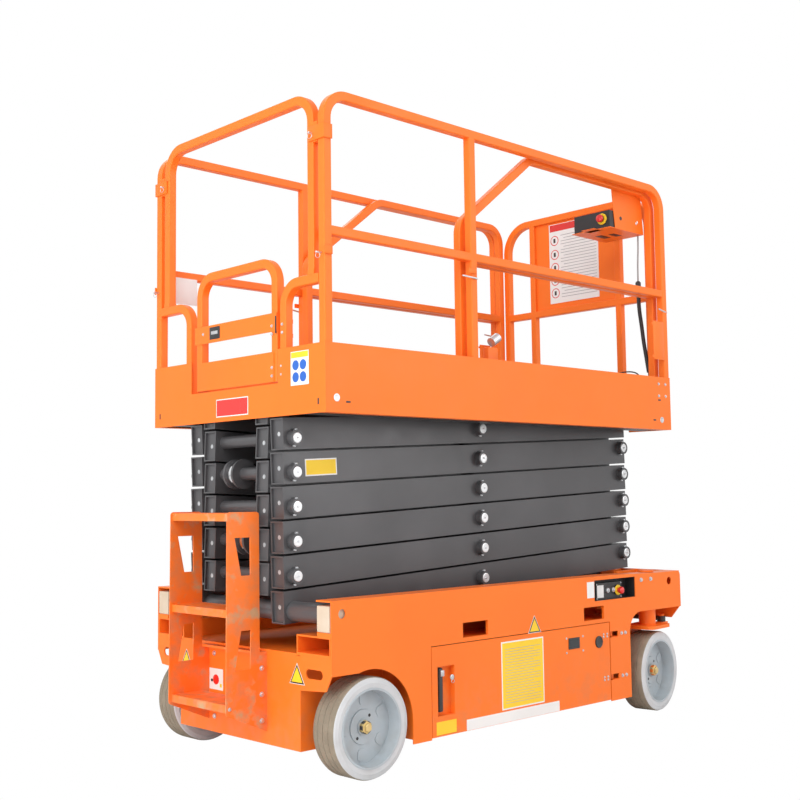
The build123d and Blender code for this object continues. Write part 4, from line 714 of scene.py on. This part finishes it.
# ---- chassis fittings ----
PAN_DEPTH = 0.026  # of the recesses for the door's lever and the ground control
PLATE_STEP = 0.0006  # by which a field stands on its plate's border
LEVER_X, LEVER_Z, LEVER_THICK = (-0.487, -0.463), (0.198, 0.372), 0.022
LATCH_X, LATCH_Z, LATCH_FROM, LATCH_TO = (-0.480, -0.460), (0.338, 0.362), 0.020, 0.026
KEY_X, LOCK_Z, KEY_RING_Z = -0.419, 0.330, 0.315
DOOR_BOLTS = ((0.595, 0.622), (0.200, 0.213, 0.396, 0.408))
LEG_BOLTS = ((0.735, 0.765), (0.206, 0.402))
FRONT_BOLTS = ((0.905, 0.985), (0.640,))
GAUGE_SCREWS = ((0.321, 0.440), (0.350, 0.414))
METER_PLACE = (0.558, 0.377)
DOOR_RULES = (21, 0.182, 0.0112, 0.0018)  # count, lowest, pitch, height
DOOR_RULES_X, DOOR_RULES_SHORT, DOOR_RULES_Y = (-0.095, 0.137), 0.045, (0.0013, 0.0019)
TRIANGLES = (  # name, (x, y, z), direction, size
    ("middle", (0.1025, -SIDE_Y, 0.484), (0, -1, 0), 1.0),
    ("rear_near", (REAR_WALL_X, -0.386, 0.382), REARWARD, 1.05),
    ("rear_far", (REAR_WALL_X, 0.362, 0.380), REARWARD, 0.9),
)
TRIANGLE_LAYERS = (  # corner radius, heights, material
    (0.050, 0, 0.0005, "white"), (0.046, 0.0005, 0.0009, "black"), (0.036, 0.0009, 0.0013, "yellow"))
LADDER_FACE_Y, FRONT_WALL_X = 0.199, 1.242
REAR_WALL_BOLTS = ((0.158, 0.424), (0.155, 0.171))
FRONT_WALL_BOLTS = [(side * y, 0.56) for side in (NEAR, FAR) for y in (0.12, 0.44)]


class LIFT_OT_chassis(bpy.types.Operator):
    """Door levers and gauge, plates, ground control panel, rear wall plates and bolts"""

    bl_idname = "lift.chassis"
    bl_label = "Chassis fittings"

    def execute(self, context):
        radius = context.scene.lift_sizes.bolt_radius
        for side, label in SIDES:
            self.door(side, label, radius)
        self.near_plates()
        for name, point, out, size in TRIANGLES:
            for corner_r, low, high, material in TRIANGLE_LAYERS:
                stations = [(corner_r * size, low), (corner_r * size, high)]
                pattern = turned(f"triangle_{material}_{name}", stations, 3)
                fit(pattern, pattern.name + "_plate", [along(point, out)], "chassis", material)
        self.ground_panel()
        self.walls(radius)
        return {"FINISHED"}

    def door(self, side, label, radius):
        """Lever, latch, lock and key ring of a side door, and the bolts round it."""
        body, pan_y = f"door_{label}", SIDE_Y - PAN_DEPTH
        lever = side_box(LEVER_X, (pan_y, pan_y + LEVER_THICK), LEVER_Z, side)
        dress(blocky(f"door_lever_{label}", *lever, 0.007, 3), body, "black")
        latch = side_box(LATCH_X, (pan_y + LATCH_FROM, pan_y + LATCH_TO), LATCH_Z, side)
        dress(blocky(f"door_latch_{label}", *latch), body, "zinc")
        place = along((KEY_X, side * SIDE_Y, LOCK_Z), (0, side, 0))
        fit(shaped("lock"), f"door_lock_{label}", [place], body, "zinc")
        ring_spot = ((KEY_X, side * (SIDE_Y + 0.006), KEY_RING_Z), (0, 1, 0.1))
        rings(f"door_key_ring_{label}", body, [ring_spot], 0.009, 0.001)
        bolts(f"door_bolts_{label}", body, side_spots(*DOOR_BOLTS, SIDE_Y, side), 0.0042, 0.0035)
        bolts(f"leg_bolts_{label}", "chassis", side_spots(*LEG_BOLTS, SIDE_Y, side), radius * 0.8, 0.006)
        bolts(f"front_bolts_{label}", "chassis", side_spots(*FRONT_BOLTS, SIDE_Y, side), radius, 0.007)

    def near_plates(self):
        """Blank plates, gauge and meter on the near side."""
        side_plate("door_plate_border", "door_near", "white", (-0.118, 0.159), (0.157, 0.439), SIDE_Y)
        side_plate("door_plate", "door_near", "yellow", (-0.112, 0.153), (0.163, 0.433), SIDE_Y + PLATE_STEP)
        count, lowest, pitch, high = DOOR_RULES
        rules = []
        for row in range(count):
            x, z = list(DOOR_RULES_X), lowest + pitch * row
            if row % 4 == 3:
                x[1] -= DOOR_RULES_SHORT
            rules.append(side_box(x, [SIDE_Y + out for out in DOOR_RULES_Y], (z, z + high), NEAR))
        plates("door_plate_rules", "door_near", rules, "rule", 0.0002)
        for name, body, material, x, z in (
                ("door_strip", "door_near", "white", (-0.336, 0.261), (0.106, 0.150)),
                ("door_small_plate", "door_near", "yellow", (-0.510, -0.396), (0.112, 0.163)),
                ("recess_label", "chassis", "white", (0.480, 0.534), (0.580, 0.653))):
            side_plate(name, body, material, x, z, SIDE_Y)
        side_plate("gauge_bezel", "door_near", "black", (0.335, 0.413), (0.364, 0.413), SIDE_Y, thick=0.004)
        side_plate("gauge_window", "door_near", "glass", (0.341, 0.407), (0.370, 0.407), SIDE_Y + 0.0035)
        bolts("gauge_screws", "door_near", side_spots(*GAUGE_SCREWS, SIDE_Y, NEAR), 0.004, 0.003)
        place = along((METER_PLACE[0], -SIDE_Y, METER_PLACE[1]), (0, -1, 0))
        fit(shaped("meter"), "charge_meter", [place], "door_near", "black")

    def ground_panel(self):
        """Stop button, switches and a blank label on the ground control box."""
        face_y = SIDE_Y - PAN_DEPTH
        stop_button("ground_stop", "chassis", (0.746, -face_y - 0.004, 0.601), (0, -1, 0), 0.8)
        side_plate("ground_label", "chassis", "white", (0.590, 0.640), (0.572, 0.630), face_y)
        places = [along(point, out) for point, out in side_spots((0.668, 0.712), (0.604,), face_y, NEAR)]
        fit(shaped("key"), "ground_switches", places, "chassis", "zinc")
        spots = side_spots((0.588, 0.776), (0.569, 0.634), face_y, NEAR)
        bolts("ground_panel_screws", "chassis", spots, 0.003, 0.002)

    def walls(self, radius):
        """Blank switch plate on the rear wall, and the bolts of the walls and the ladder."""
        plate_x = REAR_WALL_X - bpy.context.scene.lift_sizes.plate_thickness
        rear_plate("rear_socket_plate", "chassis", "white", (0.096, 0.192), (0.278, 0.363), REAR_WALL_X)
        for name, y, z, tone in (("socket_disc", 0.144, 0.319, "red"), ("socket_dot", 0.173, 0.314, "black")):
            fit(shaped(name), name, [along((plate_x, y, z), REARWARD)], "chassis", tone)
        rear_plate("socket_mark", "chassis", "yellow", (0.104, 0.118), (0.290, 0.304), plate_x, PLATE_STEP)
        bolts("rear_wall_bolts", "chassis", rear_spots(REAR_WALL_X, REAR_WALL_BOLTS), radius, 0.006)
        for name, x, z_values, size, height in (
                ("ladder_bolts", -1.226, (0.262,), radius * 0.7, 0.005),
                ("ladder_wall_bolts", -1.075, (0.20, 0.30, 0.40), radius, 0.007)):
            spots = [spot for side in (NEAR, FAR) for spot in side_spots((x,), z_values, LADDER_FACE_Y, side)]
            bolts(name, "chassis", spots, size, height)
        bolts("front_wall_bolts", "chassis", rear_spots(FRONT_WALL_X, FRONT_WALL_BOLTS), radius, 0.007)


# ---- platform fittings ----
SKIRT_BOLTS = ((1.106, 1.165), (1.541, 1.601))
SKIRT_SCREWS = ((-1.014, 1.429), (1.128, 1.421))
SKIRT_SLOTS = ((-0.957, 1.415), (1.065, 1.419), (1.111, 1.520))
SKIRT_SLOT_HALF = (0.011, 0.0035)
SILL_SLOTS, SILL_SLOT_HALF = ((-0.546, 1.416), (0.547, 1.421)), (0.004, 0.012)
HAZARD_DISCS = ((-0.4575, -0.4125), (1.5165, 1.5625))
FAR_RAIL_PLATE = ((-1.004, 0.5455, 1.935), (-0.876, 0.5478, 2.055))
CLIP_BOXES = (  # (low, high) along x, outwards and along z: rear corner clips
    ((-1.0705, -1.0675), (0.498, 0.5905), (2.417, 2.474)),
    ((-1.0705, -1.026), (0.5875, 0.5915), (2.417, 2.474)),
    ((-1.071, -1.029), (0.5875, 0.5915), (1.971, 2.003)),
)
BRACKET_BOXES = (((-0.275, -0.228), (0.5875, 0.5915), (1.994, 2.015)),)
COVER_BOXES = (
    ((1.076, 1.168), (0.586, 0.5895), (1.725, 1.920)),
    ((1.066, 1.080), (0.586, 0.5885), (1.735, 1.747)),
    ((1.066, 1.080), (0.586, 0.5885), (1.898, 1.910)),
)
CORNER_PINS = (((-1.093, 0.567, 1.976), (-1.065, 0.567, 1.977)),
               ((-1.088, 0.520, 2.446), (-1.068, 0.520, 2.446)))
MID_PINS = (((-0.304, 0.580, 1.981), (-0.225, 0.594, 1.974)), ((1.124, 0.594, 1.982), (1.214, 0.580, 1.972)))
CORNER_RINGS = (((-1.083, 0.567, 1.964), (1, 0, 0.15)), ((-1.080, 0.520, 2.433), (1, 0, 0.1)))
GATE_PLATES = (
    ("gate_keep", (-1.0700, 0.0903, 1.722), (-1.0662, 0.1645, 1.774), "black", 0.0015),
    ("gate_keep_slot", (-1.0712, 0.104, 1.742), (-1.0698, 0.151, 1.756), "zinc", 0.0005),
    ("gate_hinge_edge", (-1.0695, -0.2925, 1.700), (-1.0665, -0.2845, 1.770), "black", 0.001),
)
GATE_BOLTS = ((-0.263, 1.732), (-0.263, 1.699), (-0.263, 1.567), (-0.263, 1.534), (0.212, 1.750))
STUB_BOLTS = ((-0.326, 1.732), (-0.326, 1.700), (-0.320, 1.569), (-0.320, 1.536))
LOCK_PLACE, LOCK_LEAN = (-0.060, -0.513, 1.722), (0.86, 0.0, 0.51)
DECK_STUDS = ((1.2365, 0.174, 1.640), (1.2365, -0.238, 1.640))
SIGN_ICON_Y, SIGN_ICONS_Z = 0.137, (2.468, 2.389, 2.315, 2.243, 2.172)
SIGN_HEADER_Z, SIGN_MARGIN = (2.520, 2.558), 0.006
SIGN_RULES = (22, 2.145, 0.0165, 0.0035)  # count, lowest, pitch, height


def outwards(point, side):
    """A point with its y counted outwards on one side."""
    return point[0], side * point[1], point[2]


class LIFT_OT_platform(bpy.types.Operator):
    """Skirt bolts, plates, rail pins with their rings, gate latch and the extension's lock"""

    bl_idname = "lift.platform"
    bl_label = "Platform fittings"

    def execute(self, context):
        radius = context.scene.lift_sizes.bolt_radius
        for side, label in SIDES:
            spots = side_spots(*SKIRT_BOLTS, SKIRT_Y, side)
            bolts(f"skirt_bolts_{label}", "platform", spots, radius * 0.7, 0.005)
            places = [along((x, side * SKIRT_Y, z), (0, side, 0)) for x, z in SKIRT_SCREWS]
            fit(shaped("disc"), f"skirt_screws_{label}", places, "platform", "zinc")
            # Thin black plates on the skirt's slots: painted shade in the slots.
            (wide, high), slot_y = SKIRT_SLOT_HALF, (SKIRT_Y, SKIRT_Y + PLATE_STEP)
            slots = [side_box((x - wide, x + wide), slot_y, (z - high, z + high), side)
                     for x, z in SKIRT_SLOTS]
            plates(f"skirt_slots_{label}", "platform", slots, "black", 0.0002)
        self.sill_plates()
        dress(blocky("far_rail_plate", *FAR_RAIL_PLATE, 0.0008), "platform", "white")
        self.pins()
        self.gate(radius)
        self.extension_lock()
        self.sign()
        return {"FINISHED"}

    def sill_plates(self):
        """Blank plates on the rear skirt, and black plates as painted shade in its slots."""
        field_x = SILL_X - PLATE_STEP
        rear_plate("hazard_plate", "platform", "white", (-0.491, -0.382), (1.485, 1.616), SILL_X)
        rear_plate("hazard_plate_head", "platform", "yellow", (-0.488, -0.385), (1.591, 1.613), field_x)
        places = [along((field_x, y, z), REARWARD) for y in HAZARD_DISCS[0] for z in HAZARD_DISCS[1]]
        fit(shaped("blue_disc"), "hazard_discs", places, "platform", "blue")
        rear_plate("capacity_plate", "platform", "white", (-0.106, 0.116), (1.392, 1.466), SILL_X)
        rear_plate("capacity_plate_field", "platform", "red", (-0.102, 0.112), (1.396, 1.462), field_x)
        # Black plates on the slots: painted shade.
        wide, high = SILL_SLOT_HALF
        plates("rear_slot_shade", "platform", [((field_x, y - wide, z - high), (SILL_X, y + wide, z + high))
                                          for y, z in SILL_SLOTS], "black", 0.0002)

    def pins(self):
        """Clip plates where the rails join, their quick pins and wire rings."""
        for side, label in SIDES:
            plates(f"corner_clips_{label}", "platform", [side_box(*box, side) for box in CLIP_BOXES])
            rods(f"corner_pins_{label}", "platform",
                 [(outwards(start, side), outwards(end, side)) for start, end in CORNER_PINS], 0.0045)
            rings(f"corner_rings_{label}", "platform",
                  [(outwards(centre, side), axis) for centre, axis in CORNER_RINGS], 0.013, 0.0012)
            plates(f"mid_brackets_{label}", "platform", [side_box(*box, side) for box in BRACKET_BOXES])
            rods(f"mid_pins_{label}", "platform",
                 [(outwards(start, side), outwards(end, side)) for start, end in MID_PINS], 0.004)
            plates(f"front_post_covers_{label}", "platform", [side_box(*box, side) for box in COVER_BOXES])

    def gate(self, radius):
        """Gate latch in its black keep, and the screws through the hinge leaves."""
        for name, low, high, material, edge in GATE_PLATES:
            plates(name, "gate", [(low, high)], material, edge)
        bolts("gate_bolts", "gate", rear_spots(-1.0681, GATE_BOLTS), radius * 0.6, 0.004)
        bolts("stub_bolts", "platform", rear_spots(-1.0655, STUB_BOLTS), radius * 0.6, 0.004)

    def extension_lock(self):
        """Spring lock of the extension deck on the near side, and the studs at the deck's front."""
        places = [along(LOCK_PLACE, LOCK_LEAN)]
        fit(shaped("lock_barrel"), "extension_lock_barrel", places, "extension", "zinc")
        foot = blocky("extension_lock_foot", (-0.098, -0.530, 1.514), (-0.030, -0.499, 1.700), 0.006)
        dress(foot, "extension", "paint")
        places = [along(point, (0, 0, 1)) for point in DECK_STUDS]
        fit(shaped("deck_stud"), "deck_studs", places, "extension", "paint")

    def sign(self):
        """Red header, five round pictures and grey rules on the white plate of the front panel."""
        low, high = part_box("sign_plate")
        x = low[0]
        rear_plate("sign_header", "extension", "red", (low[1] + SIGN_MARGIN, high[1] - SIGN_MARGIN),
                   SIGN_HEADER_Z, x)
        disc, field = shaped("sign_disc"), shaped("sign_field")
        figure = blocky("sign_figure_pattern", (-0.007, -0.012, 0.0005), (0.007, 0.012, 0.0008), 0.0002, 1)
        icons = [along((x, SIGN_ICON_Y, z), REARWARD) for z in SIGN_ICONS_Z]
        for pattern, name, material in ((disc, "sign_rings", "red"), (field, "sign_fields", "white"),
                                        (figure, "sign_figures", "dark steel")):
            fit(pattern, name, icons, "extension", material)
        count, lowest, pitch, tall = SIGN_RULES
        rules = [((x - PLATE_STEP, low[1] + 2 * SIGN_MARGIN, lowest + pitch * row),
                  (x, 0.095 - 0.02 * (row % 3 == 2), lowest + pitch * row + tall)) for row in range(count)]
        plates("sign_rules", "extension", rules, "rule", 0.0002)


class LIFT_OT_platform_control(bpy.types.Operator):
    """Stop button of the platform control box, tongue and bolt of its bracket, and black plates and a black
    disc as painted shade in its slots and hole
    """

    bl_idname = "lift.platform_control"
    bl_label = "Platform control"

    def execute(self, context):
        low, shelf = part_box("control_box")[0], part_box("control_bracket")[0][2]
        face_x, bracket_y, slot_deep = low[0] + 0.026, -0.4970, 0.0008
        stop = (face_x - 0.001, low[1] + 0.045, low[2] + 0.046)
        stop_button("platform_stop", "extension", stop, REARWARD, 0.95)
        tongue = ((low[0] - 0.010, low[1] + 0.070, shelf), (face_x + 0.030, low[1] + 0.150, shelf + 0.003))
        plates("control_tongue", "extension", [tongue])
        # Black plates on the shelf's slots and a black disc on the bracket's hole: painted shade.
        slots = [((1.000, -0.420, shelf - slot_deep), (1.070, -0.385, shelf)),
                 ((0.985, -0.355, shelf - slot_deep), (1.065, -0.315, shelf))]
        plates("control_slot_shade", "extension", slots, "black", 0.0003)
        place = along((0.956, bracket_y, 2.438), (0, -1, 0))
        fit(shaped("bracket_hole_shade"), "bracket_hole_shade", [place], "extension", "black")
        bolts("bracket_bolts", "extension", [((1.090, bracket_y, 2.432), (0, -1, 0))], 0.0065, 0.003)
        return {"FINISHED"}


class LIFT_OT_labels(bpy.types.Operator):
    """Blank yellow plate on the outer arms of the fifth level"""

    bl_idname = "lift.labels"
    bl_label = "Arm labels"

    def execute(self, context):
        slope = Matrix.Rotation(-ARM_SLOPE, 4, "Y")
        for side, label in SIDES:
            place = Matrix.Translation((-0.866, side * (OUTER_FACE_Y + 0.0004), 1.178)) @ slope
            for name, low, high, edge, material in (
                    ("arm_label", (-0.077, -0.0005, -0.029), (0.077, 0.0005, 0.029), 0.0003, "yellow"),
                    ("arm_label_border", (-0.082, -0.0003, -0.034), (0.082, 0.0002, 0.034), 0.0002, "white")):
                pattern = blocky(name + "_pattern", low, high, edge, 1)
                fit(pattern, f"{name}_{label}", [place], "outer_5", material)
        return {"FINISHED"}


# ---- studio ----
LAMPS = {  # name: place, width, watts
    "Key": ((-5.5, -4.0, 6.5), 5.0, 290.0),
    "Fill": ((3.5, -7.0, 4.0), 6.0, 190.0),
    "Back": ((2.0, 6.5, 6.0), 5.0, 125.0),
    "Low": ((-6.0, -1.0, 1.2), 4.0, 190.0),
}
LAMPS_LOOK_AT = Vector((0, 0, 1.1))
WORLD_LIGHT = 0.52  # strength where neither the camera nor a reflection sees it


class LIFT_OT_studio(bpy.types.Operator):
    """Pale floor, soft lamps and a white surrounding"""

    bl_idname = "lift.studio"
    bl_label = "Studio"

    def execute(self, context):
        select_nothing()
        bpy.ops.mesh.primitive_plane_add(size=context.scene.lift_sizes.floor_size, location=(0, 0, 0))
        floor = bpy.context.object
        floor.name = "Floor"
        floor.data.materials.append(self.floor_finish())
        for name, (place, width, watts) in LAMPS.items():
            data = bpy.data.lights.new(name, "AREA")
            data.size, data.energy = width, watts
            lamp = bpy.data.objects.new(name, data)
            context.scene.collection.objects.link(lamp)
            lamp.matrix_world = along(place, Vector(place) - LAMPS_LOOK_AT)
        self.surrounding(context.scene)
        context.scene.view_settings.view_transform = "Standard"
        return {"FINISHED"}

    def floor_finish(self):
        """Pale and matt, but plain white where the camera sees it."""
        material = bpy.data.materials.new("Studio floor")
        material.use_nodes = True
        tree = material.node_tree
        shader = connect(tree, tree.nodes["Principled BSDF"], Base_Color=(0.93, 0.93, 0.93, 1), Roughness=0.9)
        glow = add_node(tree, "Emission", Color=(1, 1, 1, 1))
        seen = add_node(tree, "LightPath").outputs["Is Camera Ray"]
        mix = tree.nodes.new("ShaderNodeMixShader")
        for socket, value in zip(mix.inputs, (seen, shader.outputs[0], glow.outputs[0])):
            tree.links.new(value, socket)
        tree.links.new(mix.outputs[0], tree.nodes["Material Output"].inputs["Surface"])
        return material

    def surrounding(self, scene):
        """White for the camera and for reflections, softer as a light."""
        scene.world = bpy.data.worlds.new("Studio")
        scene.world.use_nodes = True
        tree = scene.world.node_tree
        path = add_node(tree, "LightPath")
        seen = node_math(tree, "MAXIMUM", path.outputs["Is Camera Ray"], path.outputs["Is Glossy Ray"])
        connect(tree, tree.nodes["Background"], Color=(1, 1, 1, 1),
                Strength=node_range(tree, seen, 0, 1, WORLD_LIGHT, 1.0))


STEPS = (LIFT_OT_camera_and_cables, LIFT_OT_wheels, LIFT_OT_scissor, LIFT_OT_chassis, LIFT_OT_platform,
         LIFT_OT_platform_control, LIFT_OT_labels, LIFT_OT_studio)


class LIFT_PT_sidebar(bpy.types.Panel):
    """Colours, sizes and the making steps of the scissor lift"""

    bl_label = "Scissor Lift"
    bl_idname = "LIFT_PT_sidebar"
    bl_space_type = "VIEW_3D"
    bl_region_type = "UI"
    bl_category = "Scissor Lift"

    def draw(self, context):
        for group in (context.scene.lift_colours, context.scene.lift_sizes):
            for name in group.__annotations__:
                self.layout.prop(group, name)
        for step in (LIFT_OT_finishes,) + STEPS:
            self.layout.operator(step.bl_idname)


CLASSES = (LiftColours, LiftSizes, LIFT_OT_finishes) + STEPS + (LIFT_PT_sidebar,)


def register():
    for item in CLASSES:
        bpy.utils.register_class(item)
    bpy.types.Scene.lift_colours = PointerProperty(type=LiftColours)
    bpy.types.Scene.lift_sizes = PointerProperty(type=LiftSizes)


def unregister():
    del bpy.types.Scene.lift_sizes
    del bpy.types.Scene.lift_colours
    for item in reversed(CLASSES):
        bpy.utils.unregister_class(item)


def main():
    register()
    bpy.ops.lift.finishes()
    for step in STEPS:
        group, operator = step.bl_idname.split(".")
        getattr(getattr(bpy.ops, group), operator)()
    select_nothing()


if __name__ == "__main__":
    main()
